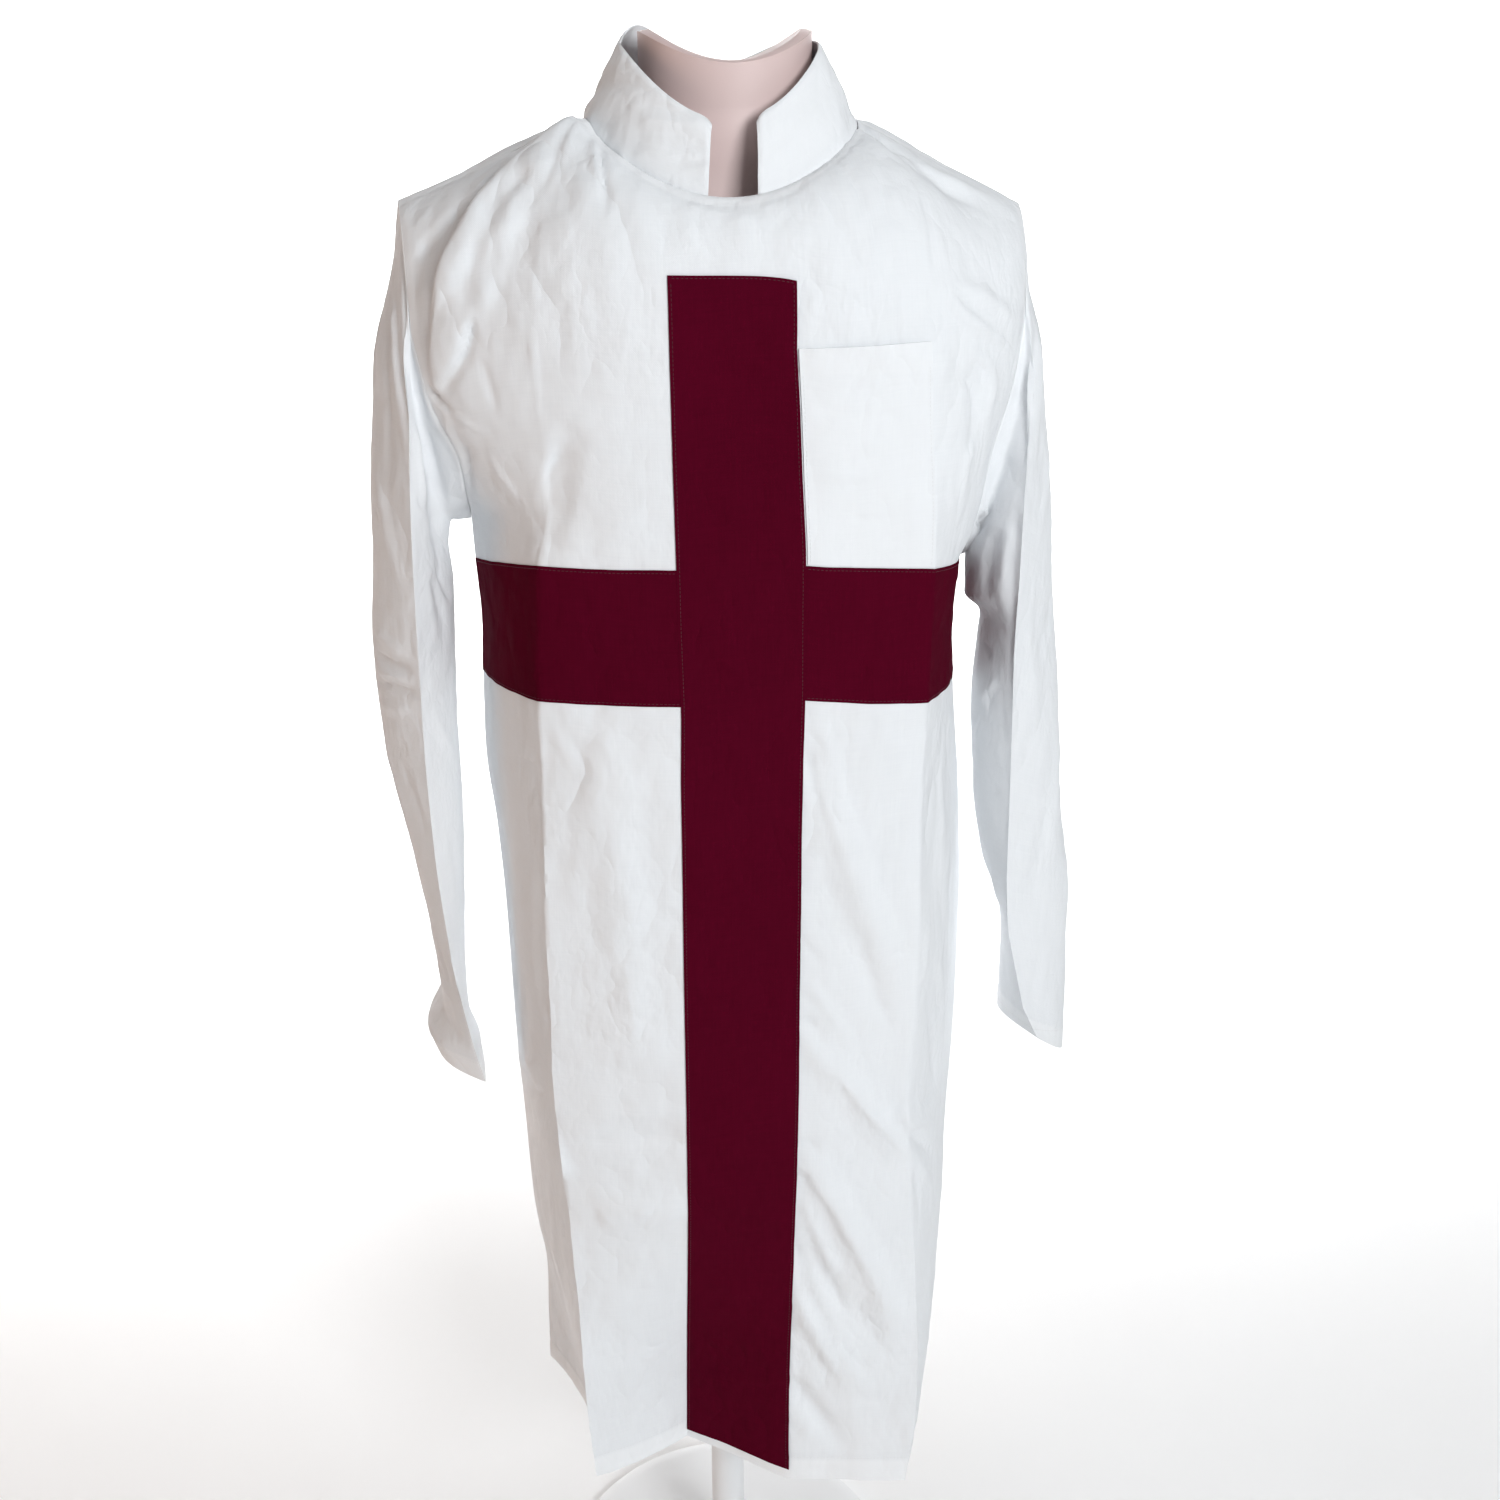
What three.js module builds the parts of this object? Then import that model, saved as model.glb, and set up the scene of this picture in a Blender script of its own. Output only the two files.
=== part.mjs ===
import * as THREE from 'three';

// A knee-length cotton tunic with a cross sewn on its front, worn by a limbless dress form.
// Millimetres, +Z up, the front faces -Y, the wearer's left arm is on +X.

// ---- Cloth sizes
const CLOTH = 1.6;            // wall of a cut piece
const STRIP = 1.2;            // wall of the cross strips and the pocket
const LIFT = 0.4;             // air under what is sewn on a panel
const SEAM = 0.5;             // air left between two pieces at a seam
const SLEEVE_SEAM = 1.8;      // air left at the armhole, where the walls meet at a slant

// ---- Body heights
const HEM_Z = 270;            // edge of the hem above the floor
const STRIP_FOOT_Z = 280;     // lower end of the cross
const CHEST_Z = 1290;         // above this line the panels turn in to the shoulders
const ARM_LOW_Z = 1035;       // lower edge of the arms of the cross
const ARM_HIGH_Z = 1138;      // upper edge of the arms of the cross
const POCKET_LOW_Z = 1139.4;
const POCKET_ROW_Z = 1165;    // first row of the panels above the foot of the pocket

// ---- Neck and shoulders
const TIP_L = { x: -223, y: 4, z: 1368 };
const TIP_R = { x: 217, y: 4, z: 1359 };
const NECK_L = { x: -94, y: -6, z: 1420 };
const NECK_R = { x: 96, y: -6, z: 1418 };
const NECK_FRONT = { y: -94, z: 1381 };
const NECK_BACK = { y: 80, z: 1406 };
const COLLAR_WALL = 2.2;      // two layers and a stiffener
const COLLAR_CLEAR = 0.6;     // air between collar and neckline
const COLLAR_BOW = 1.5;       // how far the stand swells outward at half height
const COLLAR_CORNER = 3;      // drop of the two top corners at the notch
const NOTCH_LEFT = -16;       // edges of the gap at the front of the collar
const NOTCH_RIGHT = 17;

// ---- Dress form
const NECK_X = 5.15;
const NECK_Y = 3;
const NECK_HALF_W = 59.5;
const NECK_HALF_D = 57;
const NECK_TOP_Z = 1461;      // lowest point of the scooped neck top
const NECK_SCOOP = 21;        // rise of the scoop at the sides of the neck
const NECK_TILT = 10;         // fall of the scoop from front to back
const NECK_EDGE = 28;         // below its top the neck is straight
const TORSO_Y = -4;           // middle line of the torso
const LEAN_Z = 1150;          // from here up the middle line leans over to the neck
const NECK_FOOT_Z = 1412;
const TORSO_POWER = 0.86;     // plan of the torso: 1 is an ellipse, less is squarer
const ROUND_Z = 1290;         // from here up the plan turns into an ellipse
const ROUND_OVER = 100;
const FORM_SIDES = 32;
const POLE_R = 16;
const BASE_R = 165;
const BASE_H = 12;
const BASE_EDGE = 8;          // slant of the base's rim
const HUB_R = 26;
const HUB_EDGE = 4;
const HUB_FOOT = 14;          // height of the slope round the hub
const HUB_TOP_Z = 70;

// Lines down the body, from the hem up: the two side seams, the two pressed creases of the
// front, the two edges of the upright of the cross, and the back.
// dropL, dropC, dropR = how far the row hangs below its height at the wearer's right seam, at
// the crease on the wearer's left and at that seam. bow = how far the right side panel bows out.
const BODY = [
  { z: 270, dropL: 0, dropC: 0, dropR: 0, bow: -15, sideLx: -169, sideLy: 44, creaseLx: -130,
    creaseLy: -111, bandLx: -44.5, bandLy: -72, bandRx: 43, bandRy: -132, creaseRx: 146,
    creaseRy: -146, sideRx: 176, sideRy: 20, backX: 134, backY: 92 },
  { z: 330, dropL: 0, dropC: 0, dropR: 0, bow: -12, sideLx: -168, sideLy: 38, creaseLx: -134,
    creaseLy: -107, bandLx: -44, bandLy: -75, bandRx: 43, bandRy: -124, creaseRx: 155,
    creaseRy: -134, sideRx: 185, sideRy: 16, backX: 137, backY: 92 },
  { z: 400, dropL: 0, dropC: 0, dropR: 0, bow: -2, sideLx: -166, sideLy: 26, creaseLx: -136,
    creaseLy: -109, bandLx: -44, bandLy: -86, bandRx: 44, bandRy: -120, creaseRx: 157,
    creaseRy: -126, sideRx: 196, sideRy: 14, backX: 140, backY: 92 },
  { z: 490, dropL: 0, dropC: 0, dropR: 0, bow: 3, sideLx: -174, sideLy: 16, creaseLx: -139.5,
    creaseLy: -110, bandLx: -44, bandLy: -108, bandRx: 45, bandRy: -123, creaseRx: 152,
    creaseRy: -121, sideRx: 201, sideRy: 12, backX: 142, backY: 91 },
  { z: 590, dropL: 0, dropC: 2, dropR: 4, bow: 5, sideLx: -177, sideLy: 12, creaseLx: -143,
    creaseLy: -111, bandLx: -44, bandLy: -127, bandRx: 46, bandRy: -129, creaseRx: 144,
    creaseRy: -120, sideRx: 203, sideRy: 10, backX: 143, backY: 90 },
  { z: 690, dropL: 0, dropC: 4, dropR: 8, bow: 5, sideLx: -180, sideLy: 10, creaseLx: -149,
    creaseLy: -111, bandLx: -44, bandLy: -131, bandRx: 46.5, bandRy: -131, creaseRx: 139.5,
    creaseRy: -120, sideRx: 205, sideRy: 10, backX: 144, backY: 89 },
  { z: 800, dropL: 4, dropC: 6, dropR: 16, bow: 5, sideLx: -181, sideLy: 10, creaseLx: -148.5,
    creaseLy: -111, bandLx: -44, bandLy: -130, bandRx: 46.5, bandRy: -130, creaseRx: 141,
    creaseRy: -119, sideRx: 204, sideRy: 10, backX: 144, backY: 89 },
  { z: 885, dropL: 9, dropC: 8, dropR: 24, bow: 5, sideLx: -184, sideLy: 10, creaseLx: -147,
    creaseLy: -110, bandLx: -43.5, bandLy: -129, bandRx: 46.5, bandRy: -129, creaseRx: 140.5,
    creaseRy: -119, sideRx: 200, sideRy: 10, backX: 144, backY: 90 },
  { z: 960, dropL: 15, dropC: 9, dropR: 31, bow: 5, sideLx: -189, sideLy: 10, creaseLx: -146,
    creaseLy: -109, bandLx: -43.5, bandLy: -129, bandRx: 46.5, bandRy: -129, creaseRx: 138,
    creaseRy: -118, sideRx: 194, sideRy: 10, backX: 144, backY: 91 },
  { z: 1035, dropL: 22, dropC: 11, dropR: 38, bow: 5, sideLx: -187, sideLy: 10, creaseLx: -144.5,
    creaseLy: -109, bandLx: -42.5, bandLy: -130, bandRx: 47.5, bandRy: -130, creaseRx: 139.5,
    creaseRy: -118, sideRx: 187, sideRy: 10, backX: 144, backY: 92 },
  { z: 1087, dropL: 28, dropC: 11, dropR: 42, bow: 5, sideLx: -185, sideLy: 10, creaseLx: -141,
    creaseLy: -109, bandLx: -43.5, bandLy: -130, bandRx: 47, bandRy: -130, creaseRx: 139,
    creaseRy: -118, sideRx: 184, sideRy: 10, backX: 144, backY: 93 },
  { z: 1138, dropL: 33, dropC: 11, dropR: 45, bow: 5, sideLx: -187, sideLy: 9, creaseLx: -137.5,
    creaseLy: -109, bandLx: -44, bandLy: -130, bandRx: 46.5, bandRy: -130, creaseRx: 141.5,
    creaseRy: -117, sideRx: 187, sideRy: 9, backX: 145, backY: 94 },
  { z: 1205, dropL: 16, dropC: 8, dropR: 20, bow: 5, sideLx: -190, sideLy: 9, creaseLx: -127,
    creaseLy: -109, bandLx: -45, bandLy: -130, bandRx: 43, bandRy: -130, creaseRx: 139,
    creaseRy: -117, sideRx: 194, sideRy: 9, backX: 148, backY: 96 },
  { z: 1250, dropL: 5, dropC: 4, dropR: 6, bow: 5, sideLx: -209, sideLy: 9, creaseLx: -133.5,
    creaseLy: -110, bandLx: -45.5, bandLy: -130, bandRx: 41, bandRy: -130, creaseRx: 135,
    creaseRy: -118, sideRx: 206, sideRy: 9, backX: 150, backY: 96 },
  { z: 1290, dropL: 0, dropC: 0, dropR: 0, bow: 5, sideLx: -218, sideLy: 9, creaseLx: -135.5,
    creaseLy: -110, bandLx: -46, bandLy: -130, bandRx: 38.5, bandRy: -130, creaseRx: 132,
    creaseRy: -119, sideRx: 213, sideRy: 9, backX: 150, backY: 92 },
];

// How far the edge of each armhole stands in front of and behind the side seam line.
const ARMHOLE = [
  { z: 1138, frontL: 0, backL: 0, frontR: 0, backR: 0 },
  { z: 1165, frontL: 0, backL: 0, frontR: 34, backR: 26 },
  { z: 1190, frontL: 38, backL: 32, frontR: 52, backR: 42 },
  { z: 1215, frontL: 57, backL: 48, frontR: 59, backR: 50 },
  { z: 1250, frontL: 64, backL: 56, frontR: 64, backR: 56 },
  { z: 1290, frontL: 58, backL: 53, frontR: 58, backR: 53 },
];

// Folds of the front: from (x1, z1) to (x2, z2), height out of the panel and half width.
const FRONT_FOLDS = [
  { x1: -104, z1: 1418, x2: -214, z2: 1306, rise: 7, half: 17 },
  { x1: -139, z1: 1380, x2: -202, z2: 1262, rise: 5, half: 15 },
  { x1: 134, z1: 1332, x2: 210, z2: 1266, rise: 6, half: 15 },
  { x1: 172, z1: 1272, x2: 172, z2: 1205, rise: -5, half: 14 },
  { x1: -134, z1: 1150, x2: -110, z2: 1240, rise: -5, half: 16 },
  { x1: 50, z1: 980, x2: 134, z2: 762, rise: 5, half: 22 },
  { x1: 50, z1: 752, x2: 140, z2: 606, rise: 6, half: 20 },
  { x1: 52, z1: 634, x2: 142, z2: 424, rise: 8, half: 22 },
  { x1: 48, z1: 540, x2: 124, z2: 402, rise: -6, half: 18 },
  { x1: 48, z1: 468, x2: 112, z2: 356, rise: 6, half: 17 },
  { x1: 44, z1: 373, x2: 96, z2: 296, rise: -5, half: 16 },
  { x1: 128, z1: 660, x2: 182, z2: 628, rise: 7, half: 18 },
  { x1: -120, z1: 655, x2: -46, z2: 660, rise: -4, half: 22 },
  { x1: -120, z1: 574, x2: -46, z2: 584, rise: 4, half: 24 },
  { x1: -168, z1: 660, x2: -146, z2: 606, rise: 7, half: 20 },
  { x1: -100, z1: 1030, x2: -84, z2: 720, rise: 4, half: 26 },
];

// Folds of the back, seen from the front side: same columns.
const BACK_FOLDS = [
  { x1: 118, z1: 1396, x2: 176, z2: 1296, rise: 5, half: 18 },
  { x1: -118, z1: 1396, x2: -180, z2: 1300, rise: 6, half: 17 },
  { x1: 20, z1: 1200, x2: 70, z2: 980, rise: 5, half: 24 },
  { x1: -60, z1: 1120, x2: -20, z2: 840, rise: -5, half: 26 },
  { x1: -110, z1: 760, x2: -64, z2: 420, rise: 8, half: 28 },
  { x1: 34, z1: 700, x2: 12, z2: 300, rise: -9, half: 30 },
  { x1: 96, z1: 820, x2: 118, z2: 330, rise: 8, half: 26 },
];

// Sleeves from the cuff up. Four lines run down each: the pressed crease in front, the side
// next to the body, the pressed crease behind, and the outer side.
const SLEEVE_RIGHT = [
  {
    z: 662, fx: -206, fy: -46, fz: 0, ix: -214, iy: 22, iz: 2,
    bx: -238, by: 70, bz: 8, ox: -246, oy: 4, oz: 0,
  },
  {
    z: 684, fx: -211, fy: -46, fz: 0, ix: -216, iy: 22, iz: 0,
    bx: -246, by: 72, bz: 4, ox: -254, oy: 4, oz: 0,
  },
  {
    z: 704, fx: -215, fy: -46, fz: 0, ix: -221, iy: 20, iz: 0,
    bx: -238, by: 72, bz: 0, ox: -240, oy: 6, oz: 0,
  },
  {
    z: 812, fx: -228, fy: -46, fz: 0, ix: -215, iy: 16, iz: 0,
    bx: -238, by: 74, bz: 0, ox: -247, oy: 8, oz: 0,
  },
  {
    z: 884, fx: -232, fy: -47, fz: 0, ix: -211, iy: 12, iz: 0,
    bx: -244, by: 76, bz: 0, ox: -258, oy: 10, oz: 0,
  },
  {
    z: 962, fx: -233, fy: -48, fz: 0, ix: -211, iy: 10, iz: 0,
    bx: -247, by: 80, bz: 0, ox: -267, oy: 10, oz: 0,
  },
  {
    z: 1038, fx: -231.5, fy: -50, fz: 0, ix: -206, iy: 8, iz: 0,
    bx: -246, by: 84, bz: 0, ox: -271, oy: 10, oz: 0,
  },
  {
    z: 1098, fx: -230, fy: -54, fz: 0, ix: -204, iy: 6, iz: -10,
    bx: -240, by: 84, bz: 0, ox: -265, oy: 8, oz: 0,
  },
  {
    z: 1160, fx: -227, fy: -58, fz: 14, ix: -206, iy: 8, iz: -42,
    bx: -234, by: 82, bz: 14, ox: -258, oy: 8, oz: 26,
  },
  {
    z: 1205, fx: -223, fy: -60, fz: 28, ix: -204, iy: 9, iz: -70,
    bx: -228, by: 76, bz: 28, ox: -250, oy: 6, oz: 58,
  },
];
const SLEEVE_LEFT = [
  {
    z: 646, fx: 266, fy: -46, fz: 24, ix: 247, iy: 18, iz: 18,
    bx: 288, by: 64, bz: 0, ox: 305, oy: 4, oz: -20,
  },
  {
    z: 700, fx: 252, fy: -46, fz: 0, ix: 245, iy: 14, iz: 0,
    bx: 286, by: 68, bz: 0, ox: 303, oy: 4, oz: 0,
  },
  {
    z: 776, fx: 234, fy: -47, fz: 0, ix: 243, iy: 12, iz: 0,
    bx: 278, by: 72, bz: 0, ox: 298, oy: 6, oz: 0,
  },
  {
    z: 832, fx: 229, fy: -48, fz: 0, ix: 222, iy: 10, iz: 0,
    bx: 266, by: 74, bz: 0, ox: 291, oy: 8, oz: 0,
  },
  {
    z: 900, fx: 227, fy: -48, fz: 0, ix: 209, iy: 10, iz: 0,
    bx: 258, by: 76, bz: 0, ox: 284, oy: 8, oz: 0,
  },
  {
    z: 970, fx: 224, fy: -50, fz: 0, ix: 206, iy: 10, iz: 0,
    bx: 250, by: 80, bz: 0, ox: 276, oy: 10, oz: 0,
  },
  {
    z: 1044, fx: 221, fy: -54, fz: 0, ix: 207, iy: 6, iz: -2,
    bx: 244, by: 84, bz: 0, ox: 268, oy: 10, oz: 0,
  },
  {
    z: 1090, fx: 220, fy: -57, fz: 0, ix: 192, iy: 2, iz: -26,
    bx: 238, by: 84, bz: 0, ox: 263, oy: 8, oz: 0,
  },
  {
    z: 1160, fx: 219, fy: -60, fz: 14, ix: 192, iy: 4, iz: -80,
    bx: 230, by: 82, bz: 14, ox: 251, oy: 8, oz: 26,
  },
  {
    z: 1205, fx: 219, fy: -62, fz: 28, ix: 193, iy: 8, iz: -110,
    bx: 223, by: 76, bz: 28, ox: 240, oy: 6, oz: 58,
  },
];

// Dress form from its underside up to the foot of the neck.
const FORM = [
  { z: 690, halfW: 96, halfD: 60 },
  { z: 700, halfW: 132, halfD: 84 },
  { z: 740, halfW: 156, halfD: 95 },
  { z: 820, halfW: 160, halfD: 94 },
  { z: 900, halfW: 146, halfD: 86 },
  { z: 980, halfW: 134, halfD: 80 },
  { z: 1060, halfW: 146, halfD: 86 },
  { z: 1150, halfW: 162, halfD: 93 },
  { z: 1230, halfW: 172, halfD: 92 },
  { z: 1290, halfW: 184, halfD: 84 },
  { z: 1330, halfW: 182, halfD: 74 },
  { z: 1356, halfW: 160, halfD: 65 },
  { z: 1376, halfW: 120, halfD: 60 },
  { z: 1394, halfW: 84, halfD: 59 },
  { z: 1412, halfW: 66, halfD: 59 },
];

// ---- Heights at which the panels are sampled
const LOW_ROWS = [
  HEM_Z, STRIP_FOOT_Z, 300, 335, 370, 405, 440, 475, 510, 545, 580, 615, 650, 690, 730, 770, 810, 850, 890,
  930, 965, 1000, ARM_LOW_Z, 1061, 1087, 1113, ARM_HIGH_Z, POCKET_ROW_Z, 1190, 1215, 1240, 1265, CHEST_Z,
];
const UNDERARM_L = POCKET_ROW_Z;   // rows at which the two armholes begin
const UNDERARM_R = ARM_HIGH_Z;
const YOKE_STEPS = [0.17, 0.345, 0.5, 0.64, 0.77, 0.89, 1];
const STRIP_TOP_ROW = LOW_ROWS.length + 1;
const SIDE_CELLS = 5;
const FRONT_CELLS = [SIDE_CELLS, 5, 6, 6, SIDE_CELLS];
const BACK_CELLS = [SIDE_CELLS, 9, SIDE_CELLS];
const SLEEVE_STEPS = 15;

const CROWN = 2;              // fullness of the sleeve head beside the armhole
const CAP_DIP = 7;            // how much flatter it is at the shoulder tip
const HEAD_SHARE = 0.45;      // place of the extra ring between the armhole and the sleeve
const COLLAR_STEP = 0.05;     // least angle between two columns of the collar

const V = (x, y, z) => new THREE.Vector3(x, y, z);
const mix = (a, b, t) => a + (b - a) * t;
const clamp01 = (t) => Math.min(1, Math.max(0, t));

// Smooth value of one named column at a height.
function column(table, key, z) {
  const last = table.length - 1;
  let k = 0;
  while (k < last - 1 && z > table[k + 1].z) {
    k += 1;
  }
  const a = table[k];
  const b = table[k + 1];
  const slope = (i, j) => (table[j][key] - table[i][key]) / (table[j].z - table[i].z);
  const span = b.z - a.z;
  const here = slope(k, k + 1);
  const before = k > 0 ? slope(k - 1, k) : here;
  const after = k < last - 1 ? slope(k + 1, k + 2) : here;
  const flat = (p, q) => (p * q <= 0 ? 0 : 2 * p * q / (p + q));
  const m0 = k > 0 ? flat(before, here) : here;
  const m1 = k < last - 1 ? flat(here, after) : here;
  const t = clamp01((z - a.z) / span);
  const t2 = t * t;
  const t3 = t2 * t;
  return (2 * t3 - 3 * t2 + 1) * a[key] + (t3 - 2 * t2 + t) * span * m0
    + (3 * t2 - 2 * t3) * b[key] + (t3 - t2) * span * m1;
}

function foldRise(folds, x, z) {
  let rise = 0;
  for (const f of folds) {
    const dx = f.x2 - f.x1;
    const dz = f.z2 - f.z1;
    const len2 = dx * dx + dz * dz;
    const s = ((x - f.x1) * dx + (z - f.z1) * dz) / len2;
    const away = Math.abs((x - f.x1) * dz - (z - f.z1) * dx) / Math.sqrt(len2);
    if (s > 0 && s < 1 && away < f.half) {
      rise += f.rise * Math.cos(0.5 * Math.PI * away / f.half) ** 2 * Math.sin(Math.PI * s) ** 0.6;
    }
  }
  return rise;
}

// Height of a row of the panels: whole numbers are rows of LOW_ROWS.
const rowHeight = (r) => {
  const k = Math.min(LOW_ROWS.length - 2, Math.floor(r));
  return mix(LOW_ROWS[k], LOW_ROWS[k + 1], r - k);
};
const yokeShare = (r) => {
  const k = r - (LOW_ROWS.length - 1);
  const i = Math.min(YOKE_STEPS.length - 1, Math.floor(k));
  return mix(i === 0 ? 0 : YOKE_STEPS[i - 1], YOKE_STEPS[i], k - i);
};
const armhole = (key, z) => (z <= ARM_HIGH_Z ? 0 : column(ARMHOLE, key, z));

// Neckline: half an ellipse in plan in front and behind, rising to the neck points.
// The angle runs from the middle of the front (0) round the wearer's left to the back.
function neckline(angle) {
  const across = Math.sin(angle);
  const deep = Math.cos(angle);
  const side = across < 0 ? NECK_L : NECK_R;
  const middle = deep > 0 ? NECK_FRONT : NECK_BACK;
  return V(side.x * Math.abs(across), side.y + (middle.y - side.y) * Math.abs(deep),
    middle.z + (side.z - middle.z) * across * across);
}

// The six stations of the front and the four of the back at a height below the chest line.
function frontStations(z) {
  const c = (key) => column(BODY, key, z);
  return [
    V(c('sideLx'), c('sideLy') - armhole('frontL', z), z - c('dropL')),
    V(c('creaseLx'), c('creaseLy'), z),
    V(c('bandLx'), c('bandLy'), z),
    V(c('bandRx'), c('bandRy'), z),
    V(c('creaseRx'), c('creaseRy'), z - c('dropC')),
    V(c('sideRx'), c('sideRy') - armhole('frontR', z), z - c('dropR')),
  ];
}
function backStations(z) {
  const c = (key) => column(BODY, key, z);
  return [
    V(c('sideRx'), c('sideRy') + armhole('backR', z) + SEAM, z - c('dropR')),
    V(c('backX'), c('backY'), z),
    V(-c('backX'), c('backY'), z),
    V(c('sideLx'), c('sideLy') + armhole('backL', z) + SEAM, z - c('dropL')),
  ];
}
// Angles on the neckline that the stations between the neck points run up to.
const QUARTER = Math.PI / 2;
const FRONT_NECK = [-QUARTER, -0.51, 0.4, QUARTER];
const BACK_NECK = [QUARTER, 3 * QUARTER];
const FRONT_ENDS = [TIP_L, NECK_L, NECK_R, TIP_R];
const BACK_ENDS = [TIP_R, NECK_R, NECK_L, TIP_L];
const BULGE_FRONT = [0, 3, 0, 2, 7];
const BULGE_BACK = [9, 12, 9];

// Point of a panel: u counts its stations from edge to edge, r its rows from the hem up.
function panelPoint(kind, u, r) {
  const front = kind === 'front';
  const stations = front ? frontStations : backStations;
  const neck = front ? FRONT_NECK : BACK_NECK;
  const ends = front ? FRONT_ENDS : BACK_ENDS;
  const bulge = front ? BULGE_FRONT : BULGE_BACK;
  const lastU = bulge.length;
  const k = Math.min(lastU - 1, Math.max(0, Math.floor(u)));
  const t = u - k;
  const low = Math.min(r, LOW_ROWS.length - 1);
  const z = rowHeight(low);
  const [a, b] = [stations(z)[k], stations(z)[k + 1]];
  const p = a.clone().lerp(b, t);
  const out = V(b.y - a.y, a.x - b.x, 0).normalize();
  const bow = front && k === 0 ? column(BODY, 'bow', z) : bulge[k];
  p.addScaledVector(out, bow * 4 * t * (1 - t));
  if (r > LOW_ROWS.length - 1) {
    const s = yokeShare(r);
    const [tipEnd, neckEnd] = k === 0 ? [ends[0], ends[1]] : [ends[2], ends[3]];
    const onNeck = k > 0 && k < lastU - 1;
    const end = onNeck ? neckline(mix(neck[k - 1], neck[k], t))
      : V(mix(tipEnd.x, neckEnd.x, t), mix(tipEnd.y, neckEnd.y, t), mix(tipEnd.z, neckEnd.z, t));
    if (!front) {
      end.y += SEAM;
    }
    p.x += (end.x - p.x) * s * s;
    p.y += (end.y - p.y) * (1 - Math.cos(0.5 * Math.PI * s));
    p.z += (end.z - p.z) * Math.sin(0.5 * Math.PI * s);
  }
  const rise = foldRise(front ? FRONT_FOLDS : BACK_FOLDS, p.x, p.z) * edgeFade(u, lastU);
  p.y += front ? -rise : rise;
  return p;
}
// Folds die out in the last cell before a seam, so the edges of two pieces stay together.
const edgeFade = (u, last) => clamp01(Math.min(u, last - u) * SIDE_CELLS);

function panelNormal(kind, u, r, lastU) {
  const lastR = LOW_ROWS.length - 1 + YOKE_STEPS.length;
  const du = 0.06;
  const dr = 0.3;
  const a = panelPoint(kind, Math.max(0, u - du), r);
  const b = panelPoint(kind, Math.min(lastU, u + du), r);
  const c = panelPoint(kind, u, Math.max(0, r - dr));
  const d = panelPoint(kind, u, Math.min(lastR, r + dr));
  const n = b.sub(a).cross(d.sub(c));
  // At the side and shoulder seams both pieces are cut square to the seam.
  const leftEdge = (kind === 'front') === (u === 0);
  const sideSeam = (u === 0 || u === lastU) && r <= LOW_ROWS.indexOf(leftEdge ? UNDERARM_L : UNDERARM_R);
  const shoulder = r === lastR && (u <= 1 || u >= lastU - 1);
  if (sideSeam || shoulder) {
    n.y = 0;
  }
  return n.normalize();
}

const spread = (cells) => {
  const out = [0];
  cells.forEach((n, k) => {
    for (let i = 1; i <= n; i += 1) {
      out.push(k + i / n);
    }
  });
  return out;
};

// Closed wall from rows of outer and inner points.
function wall(rows, closed) {
  const n = rows[0].length;
  const verts = [];
  const outer = rows.map((row) => row.map((p) => verts.push(p.o) - 1));
  const inner = rows.map((row) => row.map((p) => verts.push(p.i) - 1));
  const tris = [];
  const quad = (a, b, c, d) => {
    const short = verts[a].distanceTo(verts[c]) <= verts[b].distanceTo(verts[d]);
    if (short) {
      tris.push(a, b, c, a, c, d);
    } else {
      tris.push(a, b, d, b, c, d);
    }
  };
  const last = rows.length - 1;
  const cols = closed ? n : n - 1;
  for (let i = 0; i < last; i += 1) {
    for (let j = 0; j < cols; j += 1) {
      const k = (j + 1) % n;
      quad(outer[i][j], outer[i][k], outer[i + 1][k], outer[i + 1][j]);
      quad(inner[i + 1][j], inner[i + 1][k], inner[i][k], inner[i][j]);
    }
  }
  for (let j = 0; j < cols; j += 1) {
    const k = (j + 1) % n;
    quad(inner[0][j], inner[0][k], outer[0][k], outer[0][j]);
    quad(outer[last][j], outer[last][k], inner[last][k], inner[last][j]);
  }
  if (!closed) {
    for (let i = 0; i < last; i += 1) {
      quad(inner[i][0], outer[i][0], outer[i + 1][0], inner[i + 1][0]);
      quad(outer[i][n - 1], inner[i][n - 1], inner[i + 1][n - 1], outer[i + 1][n - 1]);
    }
  }
  const geometry = new THREE.BufferGeometry();
  geometry.setAttribute('position', new THREE.Float32BufferAttribute(verts.flatMap((p) => [p.x, p.y, p.z]), 3));
  geometry.setIndex(tris);
  geometry.computeVertexNormals();
  return geometry;
}

// Sheet over a panel: from `low` to `high` along its outward normal. topDrop lowers its last row.
function sheetOn(kind, us, rs, low, high, topDrop = () => 0) {
  const lastU = (kind === 'front' ? FRONT_CELLS : BACK_CELLS).length;
  const rows = rs.map((row, k) => us.map((u) => {
    const r = k === rs.length - 1 ? row - topDrop(u) : row;
    const p = panelPoint(kind, u, r);
    const n = panelNormal(kind, u, r, lastU);
    return { o: p.clone().addScaledVector(n, high), i: p.clone().addScaledVector(n, low) };
  }));
  return wall(rows, false);
}

const ROWS = [...LOW_ROWS, ...YOKE_STEPS].map((_, i) => i);
const rowOf = (z) => LOW_ROWS.indexOf(z);
const FRONT_U = spread(FRONT_CELLS);
const BACK_U = spread(BACK_CELLS);
const between = (list, a, b) => list.filter((v) => v >= a && v <= b);

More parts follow.
